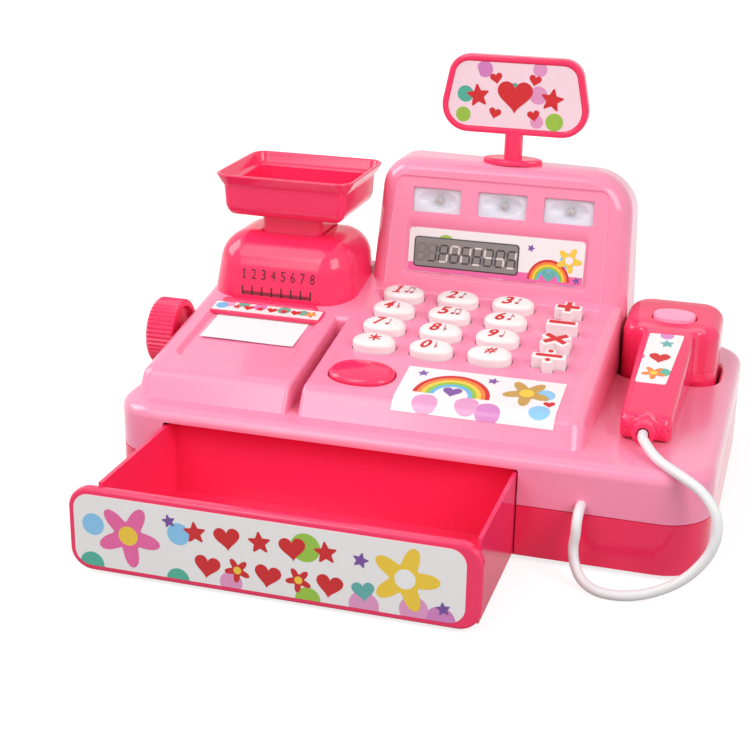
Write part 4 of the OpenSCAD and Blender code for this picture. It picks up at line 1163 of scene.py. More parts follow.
@dataclass
class UpperCase:
    """Deck, printer block, keypad block and the bridge between them, as one shell."""

    half_w: float = 155.0
    half_d: float = 104.0
    deck: float = 55.0
    split: float = 29.8
    corner: float = 24.0
    edge: float = 6.0
    wall: float = 2.4
    foot: float = -88.5
    tower: float = 43.3
    shoulder: float = 90.08
    printer_back: float = 86.05
    printer_radii: tuple = (0, 0, 4, 30, 9, 0)
    printer: tuple = (-147.0, -63.0)
    keypad_back: float = 62.0
    keypad_radii: tuple = (0, 0, 0, 9, 0)
    keypad: tuple = (-56.5, 89.5)
    bridge_front: float = -4.0
    draft_from: float = 70.0
    draft_rate: float = 0.1
    draft_most: float = 1.5

    def footprint(self, inset: float) -> Array:
        """The case's outline from above."""
        box = rectangle(-self.half_w, self.half_w, -self.half_d, self.half_d)
        return rounded(box, self.corner, inset, 12)

    def bay(self, inset: float) -> Array:
        """The outline of the scanner's pocket."""
        return rounded(rectangle(*SCANNER_HEAD), HEAD_CORNER, inset - BAY_GAP)

    def top_at(self, y: float) -> float:
        """Height of the console's slope."""
        return CONSOLE.z + (y - CONSOLE.y) * math.tan(math.radians(CONSOLE.tilt))

    def profile(self, back: float) -> Array:
        """Side view of the console: nose, slope and back, down to inside the case."""
        low = self.deck - 30
        return np.array([(self.foot, low), (back, low), (back, self.top_at(back)), (CONSOLE.y, CONSOLE.z),
                         (self.foot, self.deck)])

    def printer_profile(self) -> Array:
        """Side view of the printer block, whose top runs level under the scale."""
        low, foot, _, bend, nose = self.profile(self.printer_back)
        return np.array([low, foot, (self.printer_back, self.shoulder), (self.tower, self.shoulder), bend,
                         nose])

    def draft(self, points: Array) -> Array:
        """Spreads the keypad block's right side to its foot: X grows by a tenth of the depth below a height.

        Args:
            points: The block's points.

        Returns:
            The spread points.
        """
        right = points[:, 0] > 60
        spread = np.clip((self.draft_from - points[:, 2]) * self.draft_rate, 0, self.draft_most) * right
        return points + spread[:, None] * [1, 0, 0]

    def blocks(self) -> list:
        """What stands on the deck, and the walls of the scanner's pocket and the knob's notch below it.

        Returns:
            The closed forms to join on.
        """
        deck, back, front = self.deck, self.keypad_back, self.bridge_front
        floor = deck - 1.2
        keypad = prism(self.profile(back), self.keypad_radii, self.keypad, (2.2, 8.0), floor)
        bridge = np.array([(front, deck - 30), (back, deck - 30), (back, self.top_at(back)),
                           (front, self.top_at(front))])
        return [
            prism(self.printer_profile(), self.printer_radii, self.printer, (7.0, 2.2), floor),
            keypad.placed(self.draft),
            prism(bridge, [0, 0, 0, 4], (self.printer[1] - 4, self.keypad[0] + 4), (0.5, 0.5), floor),
            stack(self.bay, [(-2.4, 35), (-2.4, deck - 1)]),
            block(-self.half_w + 1.2, -145.5, -38.5, 8.5, 43, deck - 1)]

    def hollows(self) -> list:
        """The blocks' insides.

        Returns:
            The closed forms to cut out.
        """
        wall, low = self.wall, self.deck - 3
        printer = self.printer_profile()
        printer[1:3, 0] -= wall
        keypad = self.profile(self.keypad_back - 4)
        inside = np.array([wall, -wall])
        forms = [prism(printer, self.printer_radii, self.printer + inside, (5, 1), low),
                 prism(keypad, self.keypad_radii, self.keypad + inside, (1, 6), low)]
        return [form.placed(lambda points: points - [0, 0, wall]) for form in forms]

    def openings(self) -> list:
        """Drawer mouth, scanner pocket, knob notch, paper recess, key panel, key holes and cord hole.

        Returns:
            The closed forms to cut out.
        """
        recess = [(-4.2, 0.7), (-3.1, 0.12), (-2.5, -0.12), (-2.0, -0.4), (0.0, -1.85), (0.5, -2.0),
                  (1.4, -2.05)]
        panel = [(-0.7, 0.4), (-0.25, 0.02), (0.05, -0.3), (0.3, -0.45), (0.8, -0.5)]
        pocket = [(0, 37), *raised([(0, -1.6), (-0.4, -0.7), (-1.4, 0), (-2.2, 1)], self.deck)]
        return [
            stack(frame_of((-133, -73, 19, 72), 3.5), recess, CONSOLE.place),
            stack(frame_of((-51, 78.5, 33.2, 117), 4), panel, CONSOLE.place),
            stack(self.bay, pocket),
            block(-160, -146.99, -36, 6, 45, 60),
            stack(frame_of((-124.5, 62.5, -10, 48.5), 1.5), [(0, 90), (0, 110)], upright),
            lathe([(3.95, 95), (3.95, 110)], lambda points: upright(points + [94, 34.5, 0])),
            joined(key.hole() for key in KEYPAD.keys())]

    def build(self) -> None:
        """Joins the blocks on the deck, hollows them and cuts every opening."""
        seam = raised([(1.4, 0), (0.5, 0), (0.12, 0.15), (0, 0.5)], self.split)
        rim = raised([*fillet(self.edge, 8), (self.edge + 0.5, 0)], self.deck)
        shell = make("upper_case_shell", stack(self.footprint, seam + rim))
        carve(shell, stack(self.footprint, [(self.wall, self.split - 9), (self.wall, self.deck - 6),
                                            (4.2, self.deck - self.wall)]))
        for tool in self.blocks():
            carve(shell, tool, Carve.JOIN)
        for tool in self.hollows() + self.openings():
            carve(shell, tool)
        dress(shell, LIGHT_PINK, "case", "light_pink", ["upper_case"])


@dataclass
class LowerCase:
    """The deep pink base with its power parts, and what closes it below."""

    plinth: tuple = ((Carve.JOIN, 1.0, 11.0, 0.4, 3.8), (Carve.CUT, -1.0, 8.5, -1.0, 3.0))
    kept: tuple = (("battery_cover", DEEP_PINK), ("case_screws", STEEL), ("power_switch", BLACK),
                   ("batteries", CELL), ("battery_contacts", STEEL), ("loudspeaker", CONE),
                   ("cord_bush", LIGHT_PINK), ("keypad_membrane", SILICONE), ("main_board", BOARD),
                   ("shaft_bracket", LIGHT_PINK), ("scale_spring", STEEL), ("paper_roll", PAPER),
                   ("paper_shaft", HOT_PINK), ("flash_windows", CLEAR))

    def build(self) -> None:
        """Sets the base's foot back to a plinth, and gives the CAD nodes that stay their finish."""
        base = merged("lower_case", "lower_case_shell")
        for way, near, far, low, high in self.plinth:
            ring = [level(UpperCase().footprint(inset), z)
                    for inset, z in ((near, low), (near, high), (far, high), (far, low), (near, low))]
            carve(base, loft(np.stack(ring), capped=False), way)
        dress(base, DEEP_PINK, "case", "deep_pink", ["lower_case"], sharp=25)
        for node, finish in self.kept:
            node_finish(node, finish)


# Keys

KEY_FOOT = -2.6
KEY_SIZE = (23.5, 14.5)
LARGE_KEY = (35.0, 23.5)


@dataclass
class Key:
    """One key: its place on the console, its outline, how high it stands and its printed sign."""

    name: str
    x: float
    u: float
    height: float
    finish: Plastic
    slot: str
    outline: Outline
    crown: float = 0.25
    edge: float = 1.5
    sign: str = ""

    def plane(self) -> Slant:
        """The console's plane about the key's middle."""
        middle = CONSOLE.place(np.array([self.x, self.u, 0.0]))
        return Slant(float(middle[1]), float(middle[2]), CONSOLE.tilt, self.x)

    def hole(self) -> Surface:
        """The clearance hole through the console, with a softened rim."""
        rim = [(-0.4, -4.0), (-0.4, -0.75), (-0.55, -0.45), (-1.0, 0.3)]
        return stack(self.outline, rim, self.plane().place)

    def cap(self) -> Surface:
        """The cap's form, from its foot over the rounded edge to its flat top."""
        edge = raised([*fillet(self.edge, 6), (self.edge + 0.5, 0)], self.height - self.crown)
        return stack(self.outline, [(0, KEY_FOOT), *edge], self.plane().place)

    def build(self) -> Piece:
        """The key's cap, moving with its own body."""
        piece = make(f"{self.name}_shell", self.cap())
        return dress(piece, self.finish, f"{self.name}_cap", self.slot, [self.name], sharp=40)


@dataclass
class OvalKey(Key):
    """An oval key with a crowned top."""

    width: float = KEY_SIZE[0]
    depth: float = KEY_SIZE[1]

    def bend(self) -> float:
        """The share of the way out that the edge's rounding takes up."""
        return 2 * self.edge / self.depth

    def rise(self, share: Array) -> Array:
        """Height of the top: the crown falls with the square of the way out, the edge as a quarter circle."""
        past = np.clip((share - (1 - self.bend())) / self.bend(), 0, 1)
        return self.height - self.crown * share ** 2 - self.edge * (1 - np.sqrt(np.clip(1 - past ** 2, 0, 1)))

    def cap(self) -> Surface:
        """Rings that shrink from the rim to the middle, at the height of the crowned top.

        Returns:
            The cap's form.
        """
        edge = 1 - self.bend() * (1 - np.sin(np.linspace(QUARTER, 0, 9)))
        share = np.concatenate([edge, np.linspace(1 - self.bend(), 0.04, 8)[1:]])
        heights = np.concatenate([[KEY_FOOT], self.rise(share)])
        share = np.concatenate([[1.0], share])
        rim = self.outline(0.0)
        rings = np.stack([level(part * rim, height) for part, height in zip(share, heights)])
        return loft(self.plane().place(rings))

    def on_top(self, flat: Array, lift: float) -> Array:
        """Lays flat points on the crowned top."""
        share = np.hypot(flat[:, 0] / (self.width / 2), flat[:, 1] / (self.depth / 2))
        return self.plane().place(np.column_stack([flat, self.rise(share) + lift]))

    def legend(self) -> None:
        """The printed figure, with a small music sign beside it on the figure keys."""
        if not self.sign:
            return

        def top(flat: Surface, shift: list) -> Surface:
            """Flat faces, moved aside and bent over the crowned top."""
            return fine(flat).placed(lambda points: self.on_top(points[:, :2] + shift, 0.09))

        if self.sign == "*":
            inks = [(RED_INK, top(flat_print(arms(range(30, 390, 60), (3.6,) * 6, 0.55)), [0.4, 0.8]))]
        elif self.sign == "#":
            inks = [(RED_INK, top(lettering("#", 6.8, 5.6, 0.2, 0.02), [0.6, 0.6]))]
        else:
            figure = lettering(self.sign, 8.8, 4.4 if self.sign == "1" else 5.2, 0.2, 0.03)
            side = note({"1": 0, "5": 0, "3": 1, "6": 1, "9": 2, "2": 1, "7": 2}.get(self.sign, 3))
            small = side.placed(lambda points: points * [5.2, 6.8, 1.0])
            inks = [(RED_INK, top(figure, [-2.7, 0.2])), (NOTE_INK, top(small, [2.9, 0.1]))]
        printed(f"{self.name}_legend", inks, f"{self.name}_cap", "label")


@dataclass
class SignKey(Key):
    """A key in the shape of an arithmetic sign, with a red inlay of the same sign."""

    inlay: tuple = ()

    def legend(self) -> None:
        """The raised red sign on the cap."""
        stations = raised([(0, -0.6), (0, 0.3), (0.15, 0.45)], self.height)
        parts = [stack(lambda inset, o=outline: rounded(o, 0.35, inset, 4), stations, self.plane().place)
                 for outline in self.inlay]
        dress(make(f"{self.name}_inlay", joined(parts)), RED_INK, f"{self.name}_cap", "label")


@dataclass
class Keypad:
    """All seventeen keys on the console."""

    middle: float = -0.6
    pitch_x: float = 31.6
    row: float = 48.7
    pitch_u: float = 19.6
    sign_x: float = 62.3
    sign_row: float = 49.9
    sign_pitch: float = 18.6
    bar: float = 2.75
    figures: tuple = ("1", "2", "3", "4", "5", "6", "7", "8", "9", "star", "0", "hash")

    def number_keys(self) -> list:
        """Twelve oval keys, three to a row from the top.

        Returns:
            The keys.
        """
        found = []
        for index, figure in enumerate(self.figures):
            row, column = divmod(index, 3)
            sign = {"star": "*", "hash": "#"}.get(figure, figure)
            found.append(OvalKey(f"key_{figure}", self.middle + (column - 1) * self.pitch_x,
                                 self.row + (3 - row) * self.pitch_u, 5.5, KEY_WHITE, "white_plastic",
                                 oval_of(*KEY_SIZE), 0.4, 2.3, sign))
        return found

    def sign_keys(self) -> list:
        """Divide, times, minus and plus, from the foot of their column up.

        Returns:
            The keys.
        """
        square, cross = (0, 90, 180, 270), (38, 142, 218, 322)
        half, dot = self.bar, oval(2.7, 2.7, 20)
        divide = (rectangle(-6.9, 6.9, -1.15, 1.15), dot + [0, 4.6], dot - [0, 4.6])
        forms = {
            "divide": (arms(square, (9, 7, 9, 7), half), divide),
            "times": (arms(cross, (8.5,) * 4, half), (arms(cross, (7.0,) * 4, 1.5),)),
            "minus": (rectangle(-8.5, 8.5, -half, half), (rectangle(-7, 7, -1.3, 1.3),)),
            "plus": (arms(square, (7.5, 6.5, 7.5, 6.5), half), (arms(square, (6.0, 5.2, 6.0, 5.2), 1.4),))}
        return [SignKey(f"key_{name}", self.sign_x, self.sign_row + index * self.sign_pitch, 6.0, KEY_WHITE,
                        "white_plastic", lambda inset, o=outline: rounded(o, 0.8, inset, 5), 0.0, 0.6, "",
                        inlay)
                for index, (name, (outline, inlay)) in enumerate(forms.items())]

    def keys(self) -> list:
        """Every key."""
        large = OvalKey("key_large", -30.0, 19.2, 4.2, HOT_PINK, "hot_pink", oval_of(*LARGE_KEY), 2.0, 2.0,
                        "", *LARGE_KEY)
        return self.number_keys() + self.sign_keys() + [large]

    def build(self) -> None:
        """Makes the caps and their print."""
        for key in self.keys():
            key.build()
            key.legend()


KEYPAD = Keypad()


# The display tower

@dataclass
class Tower:
    """The leaning display tower: front housing with windows and bezel, rear cover, LCD and lamps."""

    x0: float = -57.0
    x1: float = 89.5
    top: float = 160.0
    back: float = 100.3
    front_end: float = 80.0
    cover: float = 91.3
    seam: float = 0.15
    corner: float = 20.0
    front_r: float = 12.0
    top_r: float = 5.0
    back_r: float = 20.0
    back_side: float = 0.25
    back_top: float = 0.75
    back_fall: float = 3.4
    taper: tuple = (-0.05, 0.035)
    taper_from: float = 120.0
    frame_rise: float = 0.8
    floor: float = 54.0
    wall: float = 3.2
    window_x: tuple = (-21.4, 16.5, 54.4)
    window_v: float = 48.9
    window_half: tuple = (14.0, 6.9)
    dish: tuple = (11.5, 5.6, 4.2)
    lamp_r: float = 2.5
    screen_box: tuple = (-2.15, 19.4, 61.3, 17.6)
    figure_pitch: float = 6.6
    figure_height: float = 9.4

    def ring(self, draw_x: float, draw_z: float, depth: Move, wall: float) -> Array:
        """The tower's outline drawn in by two amounts.

        Args:
            draw_x: How far the sides are drawn in.
            draw_z: How far the top is drawn in.
            depth: Each point's Y from its height.
            wall: How much further in a hollow's outline lies.

        Returns:
            The ring's points.
        """
        corners = rectangle(self.x0 + draw_x + wall, self.x1 - draw_x - wall, 20, self.top - draw_z - wall)
        radius = max(self.corner - (draw_x + draw_z) / 2 - wall, 4.0)
        flat = rounded(corners, [0, 0, radius + 3, max(radius - 4, 3)], 0, 12)
        z = np.maximum(flat[:, 1], self.floor + (0 if not wall else -4))
        spread = (self.taper_from - z) * np.where(flat[:, 0] < (self.x0 + self.x1) / 2, *self.taper)
        return np.column_stack([flat[:, 0] + spread, depth(z), z])

    def lean(self, z: Array) -> Array:
        """Y of the leaning front plane at a height."""
        turn = math.radians(90 - FACE.tilt)
        return FACE.y + (z - FACE.z) * math.tan(turn) - self.frame_rise / math.cos(turn)

    def front_rings(self, wall: float = 0.0) -> list:
        """Rings from the flat face over the rounded front edge.

        Args:
            wall: How much further in a hollow's rings lie.

        Returns:
            The rings.
        """
        rings = [self.ring(self.front_r + 0.6, self.top_r + 0.6, lambda z: self.lean(z) + wall, wall)]
        for (side, off), (drop, _) in zip(rounding(self.front_r, 13), rounding(self.top_r, 13)):
            rings.append(self.ring(side, drop, lambda z, o=off: self.lean(z) + o + wall, wall))
        return rings

    def back_rings(self, start: float, end: float, wall: float = 0.0) -> list:
        """Rings at set depths, drawn in along the rounded top edge at the back, whose right end is lower.

        Args:
            start: Y of the first ring.
            end: Y of the last ring.
            wall: How much further in a hollow's rings lie.

        Returns:
            The rings.
        """
        rings = []
        for y in np.linspace(start, end, 9):
            past = max(0.0, (y - (self.back - self.back_r)) / self.back_r)
            drop = self.back_r * (1 - math.sqrt(max(0.0, 1 - min(past, 0.999) ** 2)))
            ring = self.ring(drop * self.back_side, drop * self.back_top,
                             lambda z, y=y: np.full_like(z, y), wall)
            right = np.clip((ring[:, 0] - 5) / 80, 0, 1.2) * np.clip((ring[:, 2] - 100) / 50, 0, 1)
            fall = self.back_fall * right * np.clip((y - 62) / 30, 0, 1)
            rings.append(ring - fall[:, None] * [0, 0, 1])
        return rings

    def build(self) -> None:
        """Housing, cover, display and lamps."""
        start, end, wall = self.front_end, self.cover, self.wall
        housing = make("display_housing_shell", loft(np.stack(
            self.front_rings() + self.back_rings(start, end - self.seam))))
        carve(housing, loft(np.stack(self.front_rings(wall)[1:] + self.back_rings(start, end + 4, wall))))
        for tool in self.cuts():
            carve(housing, tool)
        dress(housing, LIGHT_PINK, "case", "light_pink", ["display_housing"])
        cover = make("display_cover_shell", loft(np.stack(self.back_rings(end + self.seam, self.back))))
        dress(cover, LIGHT_PINK, "case", "light_pink", ["display_back_cover"])
        self.reflectors()
        self.screen()

    def cuts(self) -> list:
        """The shallow panel, the bezel with its sloping upper edge, and the windows.

        Returns:
            The closed forms to cut out.
        """
        corners = np.array([(-50.0, -16), (77.6, -16), (77.0, 62.3), (-45.6, 62.3)])
        panel = stack(lambda inset: rounded(corners, [0, 0, 5, 5], inset),
                      [(-0.7, 1.5), (-0.05, 0.8), (0.25, 0.35), (0.8, 0.06), (1.6, 0.0)], FACE.place)
        steps = ((-39.6, 69.1, 4.4, 40.4, 0.4), (-38.6, 68.1, 5.0, 39.2, -0.02),
                 (-38.2, 67.7, 5.3, 37.4, -0.16), (-37.9, 67.4, 5.5, 35.8, -0.48),
                 (-37.7, 67.2, 5.7, 34.5, -0.9), (-37.5, 67.0, 5.9, 33.7, -1.35),
                 (-37.3, 66.8, 6.1, 33.4, -1.45))
        bezel = loft(np.stack([FACE.lay(rounded(rectangle(*box), 3.0), height) for *box, height in steps]))
        wide, tall = self.window_half
        rim = [(0, -14), (0, -0.5), (-0.25, -0.15), (-0.9, 0.6)]
        windows = [stack(frame_of((x - wide, x + wide, self.window_v - tall, self.window_v + tall), 1.0), rim,
                         FACE.place) for x in self.window_x]
        return [panel, bezel, joined(windows)]

    def reflectors(self) -> None:
        """White plates, whose oval dishes sink by one minus the squared reach, and round lamps."""
        across, up = np.meshgrid(np.linspace(-15.5, 15.5, 63), np.linspace(-8.2, 8.2, 35), indexing="xy")
        wide, tall, deep = self.dish
        sink = deep * np.clip(1 - np.hypot(across / wide, up / tall) ** 2, 0, 1) ** 0.8
        plate = np.stack([across, up + self.window_v, -2.6 - sink], -1)
        turn = np.linspace(0.05, math.pi * 0.62, 10)
        ball = [(self.lamp_r * math.sin(a), self.lamp_r * math.cos(a)) for a in turn]
        dishes = [sheet(FACE.place(plate + [x, 0, 0])) for x in self.window_x]
        lamps = [lathe(ball, lambda p, x=x: FACE.place(p + [x + 0.8, self.window_v, -4.6]), 28)
                 for x in self.window_x]
        dress(make("flash_reflector_dish", joined(dishes), closed=False), REFLECTOR, "case", "white_plastic",
              ["flash_reflector"], sharp=60)
        dress(make("flash_lamp_lenses", joined(lamps)), LAMP, "case", "lamp", ["flash_lamps"])

    def screen(self) -> None:
        """The LCD with a dark border, resting and lit segments with a painted highlight in pale on some of
        them, and the label round it.
        """
        x, v, width, height = self.screen_box
        rim = frame_of((x - width / 2, x + width / 2, v - height / 2, v + height / 2), 2.2)
        border = [(0, -1.4), (0, -0.72), (0.2, -0.6), (0.9, -0.6)]
        dress(make("lcd_border_plate", stack(rim, border, FACE.place)), LCD_EDGE, "case", "lcd",
              ["lcd_module"])
        glass = [(0.75, -0.7), (0.75, -0.5), (0.9, -0.45)]
        dress(make("lcd_glass_plate", stack(rim, glass, FACE.place)), LCD_GREY, "case", "lcd")
        printed("lcd_segments", self.lit(x - 4 * self.figure_pitch, v - 0.2), "case", "lcd")
        band = rounded(rectangle(-35.9, 65.4, 7.85, 13.0), [2.3, 2.3, 0, 0])
        spots = [("rainbow", None, 46, 9.5, 24, 0), ("flower", YELLOW_INK, 57, 22, 15, 10),
                 ("heart", TEAL_INK, 46, 12.5, 8, 0), ("star", VIOLET_INK, 35, 27, 5, -20),
                 ("star", VIOLET_INK, 62, 11, 5, 15)]
        film = rounded(rectangle(-36.1, 65.6, 7.65, 33.15), 2.5)
        label(("display_label_film", "display_label_motifs", "display_label"), film,
              lambda flat, lift: FACE.lay(flat, lift - 1.2), 17.0, spots,
              under=[(PINK_INK, patch(FACE.lay(band, -0.86)))])

    def lit(self, first: float, v: float) -> list:
        """The display's nine figures, the first one and most of the second at rest; on the others the listed
        segments are pale, a painted highlight.

        Args:
            first: X of the first figure's middle.
            v: The figures' middle up the face.

        Returns:
            Each ink with its surface.
        """
        inks = {LCD_INK: [], LCD_PAINTED_HIGHLIGHT: [], LCD_REST: []}
        # The letters given for each figure are the segments painted pale as a highlight; the rest are dark.
        for index, highlighted in enumerate(["", "", "cd", "abf", "be", "ad", "fg", "cg", "bd"]):
            for name, outline in self.segments(self.figure_height).items():
                resting = index < 1 or (index == 1 and name in "aefg")
                ink = LCD_REST if resting else LCD_PAINTED_HIGHLIGHT if name in highlighted else LCD_INK
                inks[ink].append(patch(FACE.lay(outline + [first + index * self.figure_pitch, v], -0.42)))
        return [(ink, joined(parts)) for ink, parts in inks.items()]

    def segments(self, height: float) -> dict:
        """A figure's seven bars, each with pointed ends, leaning a little.

        Args:
            height: The figure's height.

        Returns:
            Each bar's outline, by its letter.
        """
        width, half = height * 0.5, height * 0.052

        def bar(end: float) -> Array:
            """A level bar that reaches to both sides of nought."""
            return np.array([(-end, 0), (-end + half, -half), (end - half, -half), (end, 0),
                             (end - half, half), (-end + half, half)])

        flat, tall = bar(width * 0.92 / 2), bar(height * 0.46 / 2)[:, ::-1][::-1]
        side, rise = width / 2, height / 4
        found = {"a": flat + [0, 2 * rise], "g": flat, "d": flat - [0, 2 * rise], "b": tall + [side, rise],
                 "c": tall + [side, -rise], "f": tall + [-side, rise], "e": tall + [-side, -rise]}
        return {name: outline + outline[:, 1:] * [0.08, 0] for name, outline in found.items()}


# The sign, the scale and the printer

@dataclass
class Sign:
    """The hot pink sign on its post."""

    x: float = 18.25
    y: float = 68.13
    low: float = 176.5
    height: float = 43.5
    bottom: float = 90.0
    top: float = 72.5
    thick: float = 7.0

    def outline(self, inset: float) -> Array:
        """The tapering board with rounded corners.

        Args:
            inset: How far it is drawn in.

        Returns:
            The outline.
        """
        corners = np.array([(self.x - self.bottom / 2, self.low), (self.x + self.bottom / 2, self.low),
                            (self.x + self.top / 2, self.low + self.height),
                            (self.x - self.top / 2, self.low + self.height)])
        return rounded(corners, [15, 15, 12, 12], inset, 10)

    def stand(self, points: Array) -> Array:
        """Moves points about the post's axis into place."""
        return points + [self.x, self.y, 0]

    def lay(self, flat: Array, lift: float) -> Array:
        """Puts flat (x, z) points on the recessed panel."""
        return upright(level(flat, lift), self.y - self.thick / 2 + 1.0)

    def build(self) -> None:
        """Board, post, flange and panel."""
        half = self.thick / 2
        back = raised([(3.0, 0), (1.6, 0), (0.5, 0.35), (0, 1.2)], -half)
        front = raised([(0, -1.2), (0.4, -0.4), (1.2, 0), (2.5, 0), (3.2, -0.3), (3.5, -1.0), (4.2, -1.05)],
                       half)
        board = make("sign_board", stack(self.outline, back + front, lambda points: upright(points, self.y)))
        post = lathe([(5.25, 155), (5.25, 178)], self.stand)
        flange = [(0, 159.9), (0, 161.6), (0.4, 162.5), (1.3, 163), (2, 163)]
        carve(board, post, Carve.JOIN)
        carve(board, stack(oval_of(34, 17, 64, 2.0), flange, self.stand), Carve.JOIN)
        dress(board, HOT_PINK, "case", "hot_pink", ["sign_frame"])
        z = self.low + self.height / 2
        places = (("heart", 0, 0.5, 20, 0), ("star", -21, -1, 15, 8), ("star", 21, -1, 15, -8),
                  ("heart", -11, 9.5, 7, 12), ("heart", 11, 9.5, 7, -12), ("heart", -11, -10, 7, -12),
                  ("heart", 11, -10, 7, 12))
        spots = [(kind, RED_INK, self.x + across, z + up, size, turn)
                 for kind, across, up, size, turn in places]
        label(("sign_panel_film", "sign_motifs", "sign_panel"), self.outline(3.7), self.lay, 13.0, spots,
              finish=BLUSH)


@dataclass
class Scale:
    """The toy scale: domed housing with printed figures, square neck and flared pan."""

    x0: float = -145.0
    x1: float = -58.5
    draw_left: float = 6.0
    draw_right: float = 3.0
    y0: float = 3.0
    y1: float = 79.0
    foot: float = 82.0
    top: float = 119.0
    edge: float = 19.0
    back_edge: float = 30.0
    lean: float = 5.0
    lean_from: float = 55.0
    lean_run: float = 64.0
    floor: float = 79.0
    well: float = 18.6
    neck: float = 18.0
    pan_w: float = 81.0
    pan_d: float = 70.0
    rim: float = 154.0

    def front(self, z: Array) -> Array:
        """Y of the leaning front at a height."""
        return self.y0 + self.lean * (z - self.lean_from) / self.lean_run

    def lay(self, flat: Array, lift: float) -> Array:
        """Puts flat (x, z) points on the front."""
        return np.column_stack([flat[:, 0], self.front(flat[:, 1]) - lift, flat[:, 1]])

    def ring(self, draw: float, depth: Move) -> Array:
        """The housing's front view, narrower towards the top.

        Args:
            draw: How far it is drawn in.
            depth: Each point's Y from its height.

        Returns:
            The ring's points.
        """
        low = 20.0
        share = (low - self.foot) / (self.top - self.foot)
        corners = np.array([(self.x0 + share * self.draw_left, low), (self.x1 - share * self.draw_right, low),
                            (self.x1 - self.draw_right, self.top), (self.x0 + self.draw_left, self.top)])
        flat = rounded(corners, [0, 0, 18, 18], draw, 12)
        z = np.maximum(flat[:, 1], self.floor)
        rise = (z - flat[:, 1]) / (self.top - self.foot)
        x = flat[:, 0] + rise * np.where(flat[:, 0] < self.middle()[0], self.draw_left, -self.draw_right)
        return np.column_stack([x, depth(z), z])

    def middle(self) -> tuple:
        """The pan's middle over the housing's narrow top."""
        return (self.x0 + self.draw_left + self.x1 - self.draw_right) / 2 + 0.6, (self.y0 + self.y1) / 2

    def build(self) -> None:
        """Housing, print, neck and pan."""
        rings = [self.ring(self.edge + 0.6, self.front)]
        rings += [self.ring(draw, lambda z, d=deep: self.front(z) + d)
                  for draw, deep in rounding(self.edge, 11)]
        rings += [self.ring(draw, lambda z, d=deep: np.full_like(z, self.y1 - d))
                  for draw, deep in rounding(self.back_edge, 11)[::-1]]
        housing = make("scale_housing_shell", loft(np.stack(rings)))
        top = self.top
        well = raised([(0, -34), (0, -0.8), (-0.3, -0.3), (-1.0, 0.6)], top)
        carve(housing, stack(self.square(self.well, 5.6), well))
        dress(housing, HOT_PINK, "case", "hot_pink", ["scale_housing"])
        neck = [(0, top - 17), (0, 128.6), (0.2, 129.0), (1.5, 129.2)]
        dress(make("scale_neck", stack(self.square(self.neck, 5.0), neck)), HOT_PINK, "scale", "hot_pink",
              ["scale_plunger"])
        self.pan()
        self.figures()

    def square(self, half: float, radius: float) -> Outline:
        """A rounded square about the pan's middle."""
        x, y = self.middle()
        return frame_of((x - half, x + half, y - half, y + half), radius)

    def pan(self) -> None:
        """The pan: rounded rectangles from the underside, over the flared rim, down to the inner floor."""
        x, y = self.middle()
        half_w, half_d = self.pan_w / 2, self.pan_d / 2
        outline = frame_of((x - half_w, x + half_w, y - half_d, y + half_d), 9, 10)
        foot = [(8.0, -8.0), (6.2, -7.8), (4.0, -6.9), (2.3, -5.6), (1.0, -3.8), (0.3, -2.0), (0.0, 0.0)]
        flare = [(4.3, -8.4), (4.1, -7.0), (3.7, -6.4), (2.9, -5.6), (0.5, -1.5), (0.12, -0.7), (0.25, -0.2),
                 (0.7, 0)]
        inner = [(1.4, -0.02), (1.9, -0.3), (2.2, -0.8), (3.9, -5.0), (4.5, -5.8), (5.9, -6.2), (6.5, -6.7),
                 (6.8, -7.6), (7.4, -17.0), (8.0, -20.0), (9.6, -22.0), (12.5, -22.9), (20, -23.0)]
        stations = raised([(20, -25), *raised(foot, -17, 4.9), *flare, *inner], self.rim)
        dress(make("scale_pan_shell", stack(outline, stations)), HOT_PINK, "scale", "hot_pink", ["scale_pan"])

    def figures(self) -> None:
        """Figures from one to eight above a comb of long and short ticks, on the leaning front."""
        first, pitch, low = -122.5, 5.85, 85.7
        parts = []
        for index in range(8):
            mark = lettering(str(index + 1), 5.8, 1.7 if index == 0 else 2.7)
            at = [first + 1.0 + index * pitch, low + 12.4]
            parts.append(mark.placed(lambda points: self.lay(points[:, :2] + at, INK_LIFT)))
        for index in range(71):
            x = first + index * pitch / 10
            half, tall = (0.42, 5.3) if index % 10 == 0 else (0.15, 2.5)
            parts.append(patch(self.lay(rectangle(x - half, x + half, low, low + tall), INK_LIFT)))
        parts.append(patch(self.lay(rectangle(first, first + 7 * pitch, low + 1.0, low + 1.4), 0.07)))
        printed("scale_figures", [(BLACK_INK, joined(parts))], "case", "label")


